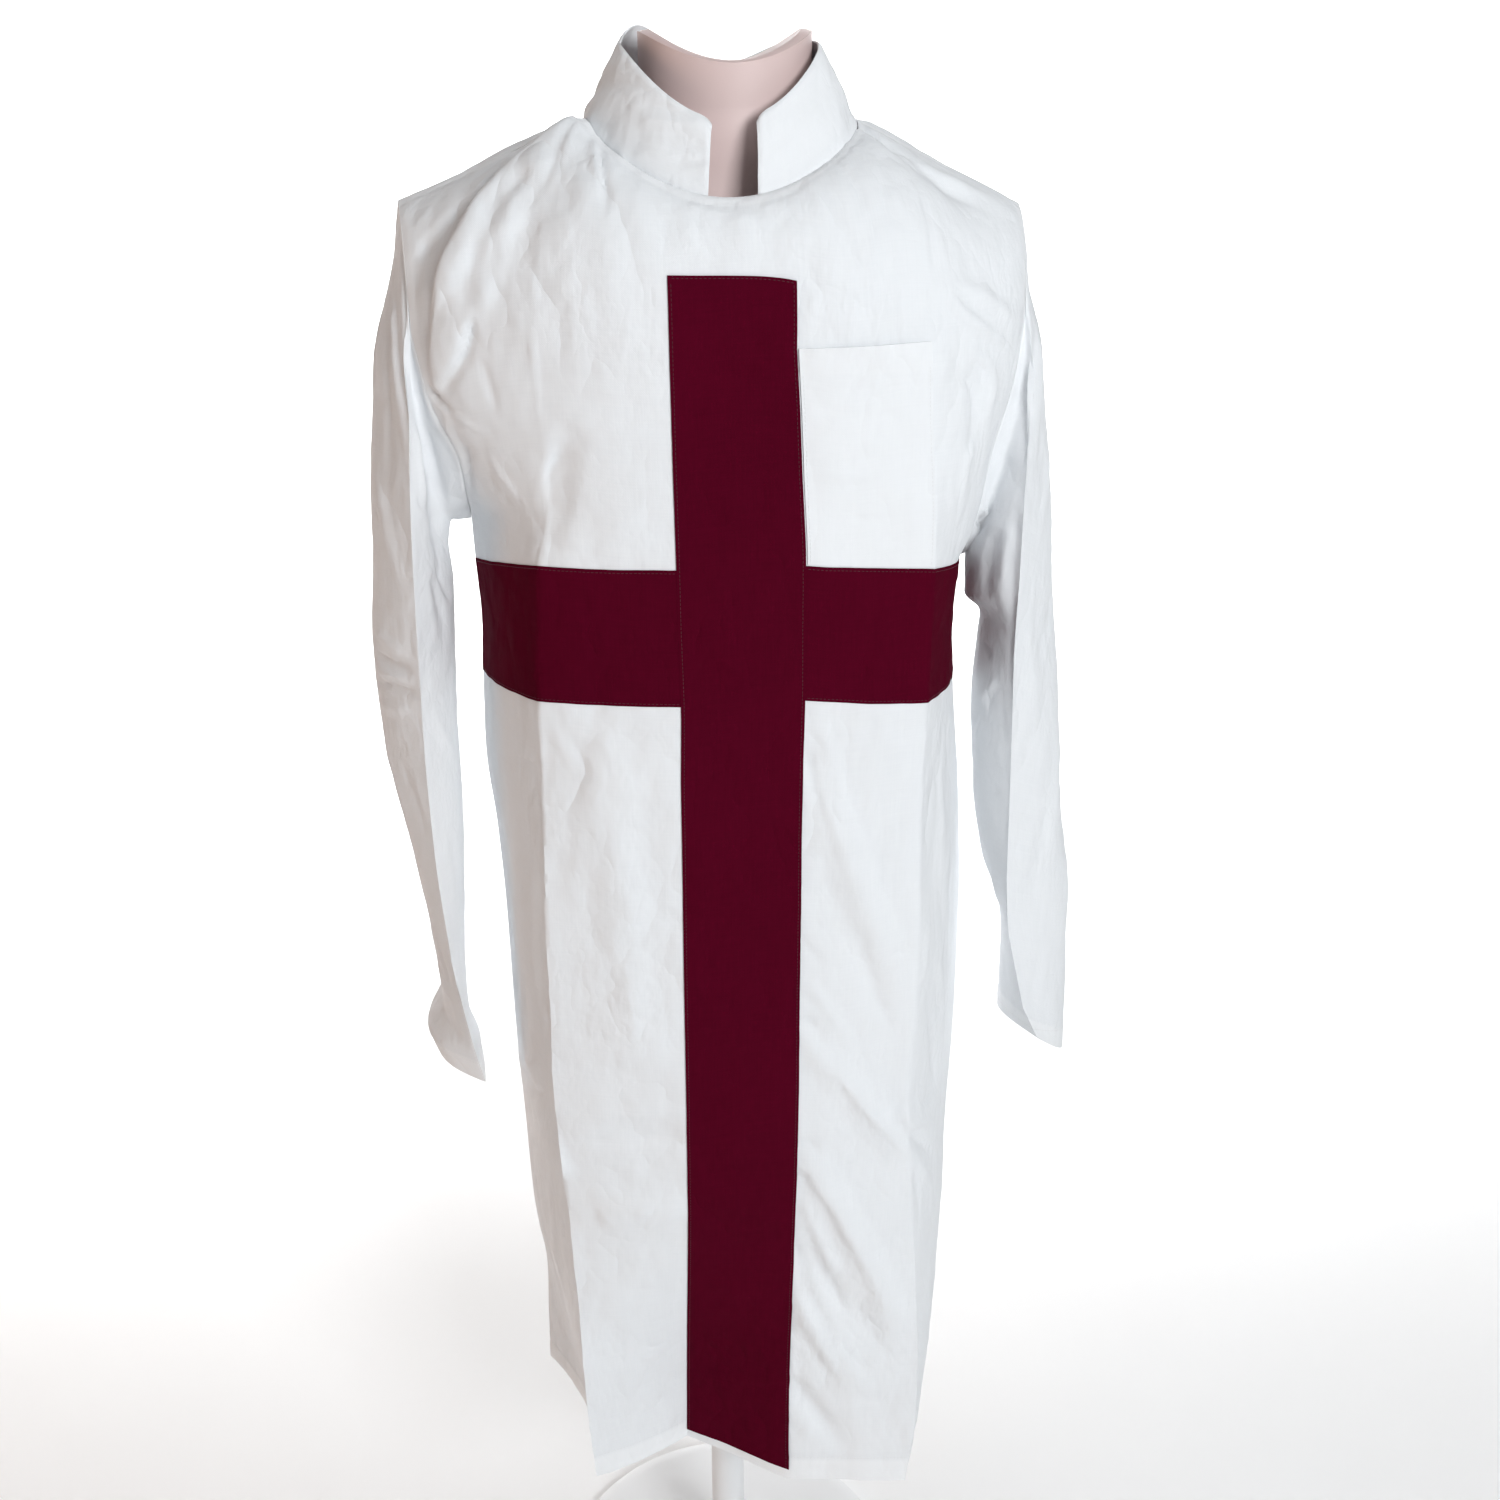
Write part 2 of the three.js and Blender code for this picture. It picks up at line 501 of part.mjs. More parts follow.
// ---- Sleeves
// Armhole loop from the shoulder tip down the front, under the arm and up the back.
function armholeLoop(side) {
  const first = rowOf(side < 0 ? UNDERARM_L : UNDERARM_R);
  const rows = ROWS.filter((r) => r >= first);
  const lastFront = FRONT_CELLS.length;
  const lastBack = BACK_CELLS.length;
  const left = side < 0;
  const frontEdge = rows.map((r) => panelPoint('front', left ? 0 : lastFront, r));
  const backEdge = rows.map((r) => panelPoint('back', left ? lastBack : 0, r));
  return [...frontEdge.reverse(), ...backEdge.slice(1, -1)];
}
function sleeveRing(table, z, count) {
  const c = (key) => column(table, key, z);
  const front = V(c('fx'), c('fy'), z + c('fz'));
  const inner = V(c('ix'), c('iy'), z + c('iz'));
  const back = V(c('bx'), c('by'), z + c('bz'));
  const outer = V(c('ox'), c('oy'), z + c('oz'));
  const centre = front.clone().add(back).multiplyScalar(0.5);
  const quarters = [[outer, front], [inner, front], [inner, back], [outer, back]];
  const ring = [];
  for (let k = 0; k < count; k += 1) {
    const q = 4 * k / count;
    const which = Math.floor(q);
    const [side, tip] = quarters[which];
    const t = which % 2 === 0 ? q - which : 1 - (q - which);
    const p = centre.clone();
    p.addScaledVector(tip.clone().sub(centre), t);
    p.addScaledVector(side.clone().sub(centre), Math.cos(0.5 * Math.PI * t));
    ring.push(p);
  }
  return ring;
}
function sleeve(table, side) {
  const loop = armholeLoop(side).map((p) => p.add(V(side * SLEEVE_SEAM, 0, 0)));
  const count = loop.length;
  const rings = [sleeveRing(table, table[0].z, count), sleeveRing(table, table[1].z, count)];
  for (let i = 0; i <= SLEEVE_STEPS; i += 1) {
    rings.push(sleeveRing(table, mix(table[2].z, table[table.length - 1].z, i / SLEEVE_STEPS), count));
  }
  const lastRing = rings[rings.length - 1];
  rings.push(loop.map((p, k) => {
    const cap = Math.max(0, Math.cos(2 * Math.PI * k / count));
    return p.clone().lerp(lastRing[k], HEAD_SHARE).add(V(side * (CROWN - CAP_DIP * cap), 0, 0));
  }));
  rings.push(loop);
  const ordered = side < 0 ? rings : rings.map((ring) => [ring[0], ...ring.slice(1).reverse()]);
  const last = ordered.length - 1;
  const rows = ordered.map((ring, i) => ring.map((p, j) => {
    const a = ring[(j + count - 1) % count];
    const b = ring[(j + 1) % count];
    const c = ordered[Math.max(0, i - 1)][j];
    const d = ordered[Math.min(last, i + 1)][j];
    const n = b.clone().sub(a).cross(d.clone().sub(c)).normalize();
    return { o: p.clone(), i: p.clone().addScaledVector(n, -CLOTH) };
  }));
  return wall(rows, true);
}

// ---- Collar: a stand of its own, open in a notch at the front
const COLLAR_ROWS = [0, 0.35, 0.7, 1];
const NOTCH_TOP_ANGLE = 0.265;
const COLLAR_TOP = { frontY: -75, frontZ: 1428, sideLx: -67, sideRx: 69, sideY: -2, sideZ: 1470,
  backY: 68, backZ: 1449, swellL: 18, swellR: 6 };
function collarTop(angle) {
  const x = Math.sin(angle);
  const frontward = Math.cos(angle) > 0;
  const side = x < 0 ? COLLAR_TOP.sideLx : COLLAR_TOP.sideRx;
  const k = Math.abs(Math.cos(angle));
  const y = frontward ? COLLAR_TOP.frontY : COLLAR_TOP.backY;
  const z = frontward ? COLLAR_TOP.frontZ : COLLAR_TOP.backZ;
  const swell = frontward ? 0 : (x < 0 ? COLLAR_TOP.swellL : COLLAR_TOP.swellR) * Math.sin(2 * angle) ** 2;
  return V(side * Math.abs(x), COLLAR_TOP.sideY + (y - COLLAR_TOP.sideY) * k,
    z + (COLLAR_TOP.sideZ - z) * x * x + swell);
}
function collar() {
  const start = Math.asin(NOTCH_RIGHT / NECK_R.x);
  const end = Math.asin(NOTCH_LEFT / -NECK_L.x);
  const frontAngles = between(FRONT_U, 1, 4).map((u) => {
    const k = Math.min(3, Math.floor(u));
    return mix(FRONT_NECK[k - 1], FRONT_NECK[k], u - k);
  });
  const backAngles = between(BACK_U, 1, 2).map((u) => mix(BACK_NECK[0], BACK_NECK[1], u - 1));
  const angles = [start, ...frontAngles.filter((a) => a > start + COLLAR_STEP), ...backAngles.slice(1, -1),
    ...frontAngles.filter((a) => a < end - COLLAR_STEP).map((a) => a + 2 * Math.PI), end + 2 * Math.PI];
  const last = angles.length - 1;
  const rows = COLLAR_ROWS.map((s) => {
    const row = [];
    angles.forEach((angle, k) => {
      const low = neckline(angle);
      const high = collarTop(k === 0 ? NOTCH_TOP_ANGLE : angle);
      const corner = (k === 0 || k === last) && s === 1 ? COLLAR_CORNER : 0;
      const p = low.clone().lerp(high, s);
      p.z += COLLAR_CLEAR - corner;
      const inward = V(-Math.sin(angle), Math.cos(angle), 0);
      p.addScaledVector(inward, -COLLAR_BOW * Math.sin(Math.PI * s));
      row.push({ o: p, i: p.clone().addScaledVector(inward, COLLAR_WALL) });
    });
    return row;
  });
  return wall(rows, false);
}

// ---- Dress form: torso and neck in one, with a scooped top
function formGeometry() {
  const rings = FORM.map((row) => {
    const share = clamp01((row.z - LEAN_Z) / (NECK_FOOT_Z - LEAN_Z));
    return { z: row.z, w: row.halfW, d: row.halfD, x: NECK_X * share * share, y: mix(TORSO_Y, NECK_Y, share) };
  });
  rings.push({ z: NECK_TOP_Z - NECK_EDGE, w: NECK_HALF_W, d: NECK_HALF_D, x: NECK_X, y: NECK_Y });
  rings.push({ z: NECK_TOP_Z, w: NECK_HALF_W, d: NECK_HALF_D, x: NECK_X, y: NECK_Y, scoop: true });
  const verts = [];
  const ids = rings.map((ring) => {
    const row = [];
    for (let k = 0; k < FORM_SIDES; k += 1) {
      const a = 2 * Math.PI * k / FORM_SIDES;
      const power = mix(TORSO_POWER, 1, clamp01((ring.z - ROUND_Z) / ROUND_OVER));
      const cx = Math.sign(Math.cos(a)) * Math.abs(Math.cos(a)) ** power;
      const cy = Math.sign(Math.sin(a)) * Math.abs(Math.sin(a)) ** power;
      const lift = ring.scoop ? NECK_SCOOP * cx * cx - NECK_TILT * 0.5 * (1 + cy) : 0;
      row.push(verts.push(V(ring.x + ring.w * cx, ring.y + ring.d * cy, ring.z + lift)) - 1);
    }
    return row;
  });
  const tris = [];
  for (let i = 0; i < ids.length - 1; i += 1) {
    for (let k = 0; k < FORM_SIDES; k += 1) {
      const j = (k + 1) % FORM_SIDES;
      tris.push(ids[i][k], ids[i][j], ids[i + 1][j], ids[i][k], ids[i + 1][j], ids[i + 1][k]);
    }
  }
  // The scooped top runs in strips from the front rim to the back rim.
  const top = ids[ids.length - 1];
  const half = FORM_SIDES / 2;
  for (let k = 0; k < half; k += 1) {
    const a = top[k];
    const b = top[k + 1];
    const c = top[(FORM_SIDES - k - 1) % FORM_SIDES];
    const d = top[(FORM_SIDES - k) % FORM_SIDES];
    if (k > 0) {
      tris.push(a, b, d);
    }
    if (k < half - 1) {
      tris.push(b, c, d);
    }
  }
  const foot = verts.push(V(0, TORSO_Y, FORM[0].z)) - 1;
  for (let k = 0; k < FORM_SIDES; k += 1) {
    tris.push(foot, ids[0][(k + 1) % FORM_SIDES], ids[0][k]);
  }
  const geometry = new THREE.BufferGeometry();
  geometry.setAttribute('position', new THREE.Float32BufferAttribute(verts.flatMap((p) => [p.x, p.y, p.z]), 3));
  geometry.setIndex(tris);
  geometry.computeVertexNormals();
  return geometry;
}

// ---- Stand
function turned(profile) {
  const points = profile.map(([r, z]) => new THREE.Vector2(r, z));
  return new THREE.LatheGeometry(points, 40).rotateX(Math.PI / 2);
}

const group = new THREE.Group();
function add(name, geometry, colour, roughness, metalness) {
  const mesh = new THREE.Mesh(geometry, new THREE.MeshStandardMaterial({ color: colour, roughness, metalness }));
  mesh.name = name;
  group.add(mesh);
}

const WHITE = 0xe6eaee;
const WHITE_SLEEVE = 0xdde2e8;
const MAROON = 0x4f0a1e;
const FORM_PINK = 0xc9a8a6;
const STAND_WHITE = 0xe8e9ea;

const stripRows = ROWS.filter((r) => r >= rowOf(STRIP_FOOT_Z) && r <= STRIP_TOP_ROW);
const armRows = ROWS.filter((r) => r >= rowOf(ARM_LOW_Z) && r <= rowOf(ARM_HIGH_Z));
const pocketFoot = rowOf(ARM_HIGH_Z) + (POCKET_LOW_Z - ARM_HIGH_Z) / (POCKET_ROW_Z - ARM_HIGH_Z);
const pocketRows = [pocketFoot, ...ROWS.filter((r) => r > pocketFoot && r <= rowOf(CHEST_Z))];
// The upright ends in a nearly straight edge, lower at its two corners than the curved row.
const CORNER_DROP = { right: 0.16, left: 0.3 };
const uprightDrop = (u) => mix(CORNER_DROP.right, CORNER_DROP.left, u - 2) * (2 * (u - 2) - 1) ** 2;
const EDGE = 0.012;           // share of a station left free beside the upright
const leftArmU = [...between(FRONT_U, 0, 2 - EDGE), 2 - EDGE];
const rightArmU = [3 + EDGE, ...between(FRONT_U, 3 + EDGE, 5)];
const pocketU = [3 + EDGE, ...between(FRONT_U, 3 + EDGE, 4 - EDGE), 4 - EDGE];

add('front', sheetOn('front', FRONT_U, ROWS, -CLOTH, 0), WHITE, 0.85, 0);
add('back', sheetOn('back', BACK_U, ROWS, -CLOTH, 0), WHITE, 0.85, 0);
add('sleeve_right', sleeve(SLEEVE_RIGHT, -1), WHITE_SLEEVE, 0.85, 0);
add('sleeve_left', sleeve(SLEEVE_LEFT, 1), WHITE_SLEEVE, 0.85, 0);
add('collar', collar(), WHITE, 0.8, 0);
add('cross_upright', sheetOn('front', between(FRONT_U, 2, 3), stripRows, LIFT, LIFT + STRIP, uprightDrop),
  MAROON, 0.9, 0);
add('cross_arm_right', sheetOn('front', leftArmU, armRows, LIFT, LIFT + STRIP), MAROON, 0.9, 0);
add('cross_arm_left', sheetOn('front', rightArmU, armRows, LIFT, LIFT + STRIP), MAROON, 0.9, 0);
add('pocket', sheetOn('front', pocketU, pocketRows, LIFT, LIFT + STRIP), WHITE, 0.85, 0);
add('dress_form', formGeometry(), FORM_PINK, 0.6, 0);
add('stand_pole', turned([[0, HUB_TOP_Z], [POLE_R, HUB_TOP_Z], [POLE_R, FORM[0].z - LIFT], [0, FORM[0].z - LIFT]]),
  STAND_WHITE, 0.4, 0);
const BASE_PROFILE = [
  [0, 0],
  [BASE_R, 0],
  [BASE_R, BASE_H / 2],
  [BASE_R - BASE_EDGE, BASE_H],
  [HUB_R + BASE_EDGE, BASE_H + HUB_EDGE],
  [HUB_R, BASE_H + HUB_FOOT],
  [HUB_R, HUB_TOP_Z - HUB_EDGE],
  [HUB_R - HUB_EDGE, HUB_TOP_Z - LIFT],
  [0, HUB_TOP_Z - LIFT],
];
add('stand_base', turned(BASE_PROFILE), STAND_WHITE, 0.4, 0);

export default group;
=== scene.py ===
"""A cotton tunic with a cross sewn on its front, worn by a limbless dress form.

Lengths in the tables are millimetres in the shared frame; meshes are made in metres.
"""

import math

import bpy
import numpy as np
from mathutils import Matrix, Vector


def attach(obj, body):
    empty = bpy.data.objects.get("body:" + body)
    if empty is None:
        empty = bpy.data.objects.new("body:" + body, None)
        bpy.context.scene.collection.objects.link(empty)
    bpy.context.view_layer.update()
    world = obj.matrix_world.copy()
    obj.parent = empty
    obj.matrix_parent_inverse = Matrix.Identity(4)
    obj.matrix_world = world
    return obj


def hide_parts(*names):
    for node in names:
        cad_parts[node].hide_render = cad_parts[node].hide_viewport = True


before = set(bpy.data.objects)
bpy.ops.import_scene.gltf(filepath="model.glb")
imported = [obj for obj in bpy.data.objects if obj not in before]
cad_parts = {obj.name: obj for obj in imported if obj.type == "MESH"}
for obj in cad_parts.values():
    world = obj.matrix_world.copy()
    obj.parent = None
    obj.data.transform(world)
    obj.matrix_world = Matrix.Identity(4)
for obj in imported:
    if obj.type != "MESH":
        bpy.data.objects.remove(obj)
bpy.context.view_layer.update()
MM = 0.001
QUARTER = math.pi / 2

# ---- Cloth
CLOTH = 0.7                # wall of one layer
HEM_EXTRA = 0.5            # added where the hem is turned up
COLLAR_WALL = 1.9
STRIP = 0.6
SEAM = 0.25                # air left between front and back at the side seams
HEM_DEPTH = 22.0
TOP_ALLOWANCE = 11.0       # seam allowances that lie behind the cloth, from its edges
SIDE_ALLOWANCE = 9.0
SIDE_STITCH = 4.0
SIDE_FADE = 11             # creases fade out over the last 11th of a station at the sides
FOLD_FADE = 5              # and broad folds over the last 5th

# ---- Heights
ARM_LOW_Z, ARM_HIGH_Z = 1035, 1138
ARMPIT_Z, CHEST_Z = 1165, 1290
LOW_ROWS = [270, 280, *range(300, 650, 35), *range(650, 930, 40), *range(930, ARM_LOW_Z, 35),
            *range(ARM_LOW_Z, ARM_HIGH_Z, 26), ARM_HIGH_Z, *range(ARMPIT_Z, CHEST_Z + 1, 25)]
YOKE_STEPS = [0, 0.17, 0.345, 0.5, 0.64, 0.77, 0.89, 1]
YOKE_SPACING = 22          # rough distance between the rows above the chest
TOP_LOW = len(LOW_ROWS) - 1
LAST_ROW = TOP_LOW + len(YOKE_STEPS) - 1

# ---- Neck and shoulders
TIP_L, TIP_R = (-223, 4, 1368), (217, 4, 1359)
NECK_L, NECK_R = (-94, -6, 1420), (96, -6, 1418)
NECK_FRONT, NECK_BACK = (-94, 1381), (80, 1406)
NOTCH_LEFT, NOTCH_RIGHT = -16, 17


def table(head, text):
    """Columns by name from lines of numbers."""
    rows = np.array([[float(v) for v in line.split()] for line in text.strip().splitlines()])
    return {name: rows[:, i] for i, name in enumerate(head.split())}


# Lines down the body: side seams, pressed creases of the front, edges of the upright, back.
BODY = table(
    "z dropL dropC dropR bow sideLx sideLy creaseLx creaseLy bandLx bandLy "
    "bandRx bandRy creaseRx creaseRy sideRx sideRy backX backY",
    """
270 0 0 0 -15 -169 44 -130 -111 -44.5 -72 43 -132 146 -146 176 20 134 92
330 0 0 0 -12 -168 38 -134 -107 -44 -75 43 -124 155 -134 185 16 137 92
400 0 0 0 -2 -166 26 -136 -109 -44 -86 44 -120 157 -126 196 14 140 92
490 0 0 0 3 -174 16 -139.5 -110 -44 -108 45 -123 152 -121 201 12 142 91
590 0 2 4 5 -177 12 -143 -111 -44 -127 46 -129 144 -120 203 10 143 90
690 0 4 8 5 -180 10 -149 -111 -44 -131 46.5 -131 139.5 -120 205 10 144 89
800 4 6 16 5 -181 10 -148.5 -111 -44 -130 46.5 -130 141 -119 204 10 144 89
885 9 8 24 5 -184 10 -147 -110 -43.5 -129 46.5 -129 140.5 -119 200 10 144 90
960 15 9 31 5 -189 10 -146 -109 -43.5 -129 46.5 -129 138 -118 194 10 144 91
1035 22 11 38 5 -187 10 -144.5 -109 -42.5 -130 47.5 -130 139.5 -118 187 10 144 92
1087 28 11 42 5 -185 10 -141 -109 -43.5 -130 47 -130 139 -118 184 10 144 93
1138 33 11 45 5 -187 9 -137.5 -109 -44 -130 46.5 -130 141.5 -117 187 9 145 94
1205 16 8 20 5 -190 9 -127 -109 -45 -130 43 -130 139 -117 194 9 148 96
1250 5 4 6 5 -209 9 -133.5 -110 -45.5 -130 41 -130 135 -118 206 9 150 96
1290 0 0 0 5 -218 9 -135.5 -110 -46 -130 38.5 -130 132 -119 213 9 150 92
""")
# How far each armhole edge stands in front of and behind the side seam line.
ARMHOLE = table("z frontL backL frontR backR", """
1138 0 0 0 0
1165 0 0 34 26
1190 38 32 52 42
1215 57 48 59 50
1250 64 56 64 56
1290 58 53 58 53
""")
FOLD_HEAD = "x1 z1 x2 z2 rise half"
# Broad folds that the solids have too.
FRONT_FOLDS = table(FOLD_HEAD, """
-104 1418 -214 1306 7 17
-139 1380 -202 1262 5 15
134 1332 210 1266 6 15
172 1272 172 1205 -5 14
-134 1150 -110 1240 -5 16
50 980 134 762 5 22
50 752 140 606 6 20
52 634 142 424 8 22
48 540 124 402 -6 18
48 468 112 356 6 17
44 373 96 296 -5 16
128 660 182 628 7 18
-120 655 -46 660 -4 22
-120 574 -46 584 4 24
-168 660 -146 606 7 20
-100 1030 -84 720 4 26
""")
BACK_FOLDS = table(FOLD_HEAD, """
118 1396 176 1296 5 18
-118 1396 -180 1300 6 17
20 1200 70 980 5 24
-60 1120 -20 840 -5 26
-110 760 -64 420 8 28
34 700 12 300 -9 30
96 820 118 330 8 26
""")
# Smaller creases. Each runs through three points; a is the distance along the
# cloth from the middle of the panel. lean widens the flank on its left hand, and sharp goes from
# a soft crease (0) to a pressed one (1). held is 1 where a seam keeps the first end at full
# height and 2 where seams keep both ends.
CREASE_HEAD = "a1 z1 a2 z2 a3 z3 rise half lean sharp held"
CURVE_STEPS = 12           # straight steps in each crease
FRONT_CREASES = table(CREASE_HEAD, """
-122 1424 -196 1342 -214 1206 10.0 20 0.55 0.45 1
-138 1420 -172 1392 -228 1346 -3.6 8 0.3 0.8 2
-148 1392 -176 1352 -182 1290 -3.4 9 0.2 0.7 1
-180 1300 -196 1270 -230 1238 -4.6 8 0.4 0.8 1
-128 1419 -128 1402 -138 1373 -2.2 7 0 0.6 1
-196 1410 -194 1396 -211 1382 -1.6 5 0 0.8 0
-184 1396 -190 1382 -204 1364 1.6 5 0 0.8 0
-240 1272 -219 1246 -190 1234 -4.2 6 0.3 0.9 1
-210 1240 -196 1232 -172 1226 1.8 6 0 0.7 0
-176 1284 -170 1260 -166 1236 -1.8 6 0 0.8 0
-186 1210 -171 1188 -154 1170 1.8 6 0 0.7 0
-196 1196 -182 1176 -168 1160 -1.8 7 0 0.6 0
-134 1196 -127 1212 -112 1226 -3.0 7 0 0.9 0
-133 1206 -133 1187 -137 1160 -1.8 6 0 0.7 0
-126 1390 -134 1290 -132 1203 1.0 3 0 1.0 0
-203 1216 -215 1192 -231 1164 -2.8 9 0 0.8 0
-210 1236 -222 1214 -238 1190 2.5 8 0 0.7 0
-230 1145 -206 1136 -201 1127 1.2 6 0 0.6 0
137 1415 165 1392 225 1355 -5.2 9 -0.2 0.8 1
147 1402 190 1383 250 1358 4.0 9 0 0.7 1
152 1325 183 1301 239 1265 -4.1 9 0.1 0.8 0
164 1327 203 1304 242 1276 3.9 9 0 0.8 0
143 1382 142 1354 137 1290 -1.8 6 0.2 0.9 0
164 1283 197 1255 188 1214 3.4 8 0.3 0.8 0
152 1268 182 1244 172 1208 -2.8 8 0 0.7 0
188 1214 173 1193 183 1155 2.8 8 0.2 0.7 0
-21 1378 -29 1373 -36 1367 1.4 5 0 0.7 1
-43 1371 -43 1358 -42 1342 -1.2 5 0 0.7 1
-26 1370 -28 1358 -28 1345 1.1 5 0 0.3 1
-7 1372 -7 1360 -8 1344 -1.0 5 0 0.3 1
11 1372 9 1360 7 1344 1.1 5 0 0.3 1
36 1372 29 1360 25 1346 -1.2 5 0 0.7 1
-93 1404 -86 1388 -85 1365 -2.3 6 0 0.8 1
-104 1413 -96 1402 -88 1390 1.8 6 0 0.7 1
58 1388 66 1370 70 1346 1.0 6 0 0.3 1
82 1402 92 1384 104 1350 -1.2 7 0 0.6 1
100 1412 116 1390 128 1352 1.4 8 0 0.6 1
91 1241 109 1243 127 1239 -0.8 4 0 0.4 0
51 1246 65 1247 79 1245 -0.8 4 0 0.4 0
118 1270 126 1271 133 1269 0.7 3 0 0.4 0
60 1205 84 1200 112 1206 0.7 6 0 0.2 0
70 1175 96 1168 124 1174 -0.7 6 0 0.2 0
49 987 65 925 89 847 -2.4 13 -0.3 0.8 1
60 1010 84 930 118 850 1.4 13 0 0.8 1
89 847 109 770 137 719 -2.0 13 -0.2 0.8 0
45 833 57 819 69 808 -1.2 7 0 0.9 1
49 760 61 746 85 692 -2.4 10 -0.3 0.9 1
54 790 82 740 108 672 1.6 11 0 0.8 1
69 719 96 665 153 591 -2.5 12 -0.3 0.9 0
86 700 124 640 158 600 1.6 10 0 0.8 0
49 643 61 634 70 621 -1.3 7 0 0.9 1
49 608 95 516 139 408 -3.0 13 -0.3 0.9 1
52 575 92 470 132 380 2.4 12 0.2 0.8 1
49 523 75 440 126 332 -2.7 12 -0.3 0.9 1
50 470 84 398 118 320 2.0 11 0 0.8 1
48 380 62 360 106 296 -2.0 10 -0.2 0.9 1
50 332 55 324 60 316 -1.0 6 0 0.6 1
141 784 156 796 163 863 1.8 8 0 0.7 0
156 780 192 685 213 633 -3.0 13 0 0.7 0
172 800 208 720 228 640 2.6 14 0 0.6 0
137 644 171 628 209 599 4.5 9 0.2 0.8 0
146 634 174 600 214 556 -4.0 9 0 0.8 0
151 606 172 578 217 522 3.4 10 0 0.8 0
137 644 137 670 133 699 1.8 6 0 0.8 0
160 650 184 648 206 634 -2.4 7 0 0.8 0
150 590 160 570 178 500 -2.6 9 0 0.7 0
-139 644 -114 650 -93 644 -1.8 8 0 0.7 0
-93 644 -72 653 -51 647 -1.6 8 0 0.7 0
-121 577 -109 567 -94 554 1.2 7 0 0.7 0
-122 497 -98 513 -79 516 -1.2 7 0 0.7 0
-84 529 -69 539 -50 529 -1.2 7 0 0.7 0
-84 551 -70 567 -50 570 1.2 7 0 0.6 0
-89 313 -79 329 -60 329 -1.2 7 0 0.7 0
-231 640 -189 667 -159 697 -3.2 11 0 0.7 0
-279 631 -221 660 -177 670 -2.6 10 0 0.7 0
-236 672 -200 690 -168 716 2.4 10 0 0.6 0
-266 560 -216 600 -170 612 2.2 12 0 0.6 0
-166 900 -178 820 -176 740 1.6 14 0 0.5 0
-196 820 -214 730 -214 640 -1.8 15 0 0.5 0
-180 560 -198 480 -200 400 1.8 15 0 0.5 0
-236 520 -228 440 -222 340 -1.6 14 0 0.5 0
178 980 190 900 190 800 1.6 14 0 0.5 0
214 900 226 800 222 700 -1.8 15 0 0.5 0
190 460 206 390 206 320 1.8 14 0 0.5 0
-130 1120 -112 1096 -96 1072 0.9 10 0 0.2 0
-236 1120 -200 1110 -160 1108 1.8 9 0 0.6 0
-240 1070 -204 1070 -168 1076 -1.6 9 0 0.6 0
168 1112 204 1100 240 1096 1.6 9 0 0.6 0
-72 1020 -70 930 -66 840 -0.9 14 0 0.1 0
-120 960 -126 890 -130 820 1.0 12 0 0.1 0
-112 470 -100 436 -84 400 1.0 12 0 0.2 0
-70 420 -66 360 -62 310 -0.9 12 0 0.2 0
-108 380 -106 330 -98 290 1.0 11 0 0.2 0
-100 780 -84 770 -66 774 -0.8 9 0 0.3 0
-96 868 -80 862 -60 866 0.8 9 0 0.3 0
""")
BACK_CREASES = table(CREASE_HEAD, """
-60 1392 -90 1372 -110 1338 1.8 9 0 0.3 1
52 1394 78 1370 96 1338 1.5 9 0 0.3 1
-20 1388 -24 1364 -26 1340 1.0 7 0 0.3 1
14 1388 14 1362 22 1332 -1.0 7 0 0.3 1
150 1350 128 1304 96 1270 2.4 11 0.2 0.4 0
168 1330 140 1284 112 1240 -2.6 10 0 0.4 0
-160 1350 -138 1304 -104 1262 -2.8 11 0 0.4 0
-178 1330 -146 1284 -120 1236 2.4 10 0 0.4 0
190 1240 164 1196 130 1170 2.6 10 0 0.5 0
-196 1236 -172 1190 -140 1160 2.8 10 0 0.5 0
180 1180 150 1144 110 1120 -2.4 11 0 0.4 0
-176 1170 -140 1136 -110 1096 -2.4 11 0 0.4 0
40 1150 34 1070 20 980 1.4 15 0 0.2 0
-30 1080 -56 980 -70 880 -1.8 15 0 0.2 0
110 1060 132 960 140 860 1.8 14 0 0.2 0
-120 1040 -140 940 -146 840 1.6 14 0 0.2 0
60 900 54 800 40 700 -2.2 15 0 0.3 0
-10 860 -14 750 -6 640 2.4 15 0 0.3 0
150 840 142 730 120 640 -2.2 14 0 0.3 0
-150 820 -142 700 -120 600 -2.6 14 0 0.3 0
-40 660 -66 570 -80 480 2.6 13 0 0.4 0
70 640 66 530 50 430 2.8 14 0 0.4 0
140 600 160 510 170 420 2.2 14 0 0.3 0
-160 560 -176 470 -176 380 -2.4 13 0 0.3 0
10 480 16 400 30 330 -2.2 12 0 0.3 0
-110 440 -96 370 -90 300 2.4 12 0 0.4 0
90 420 96 350 110 290 -2.4 13 0 0.4 0
-20 400 -26 340 -40 284 1.8 11 0 0.3 0
""")

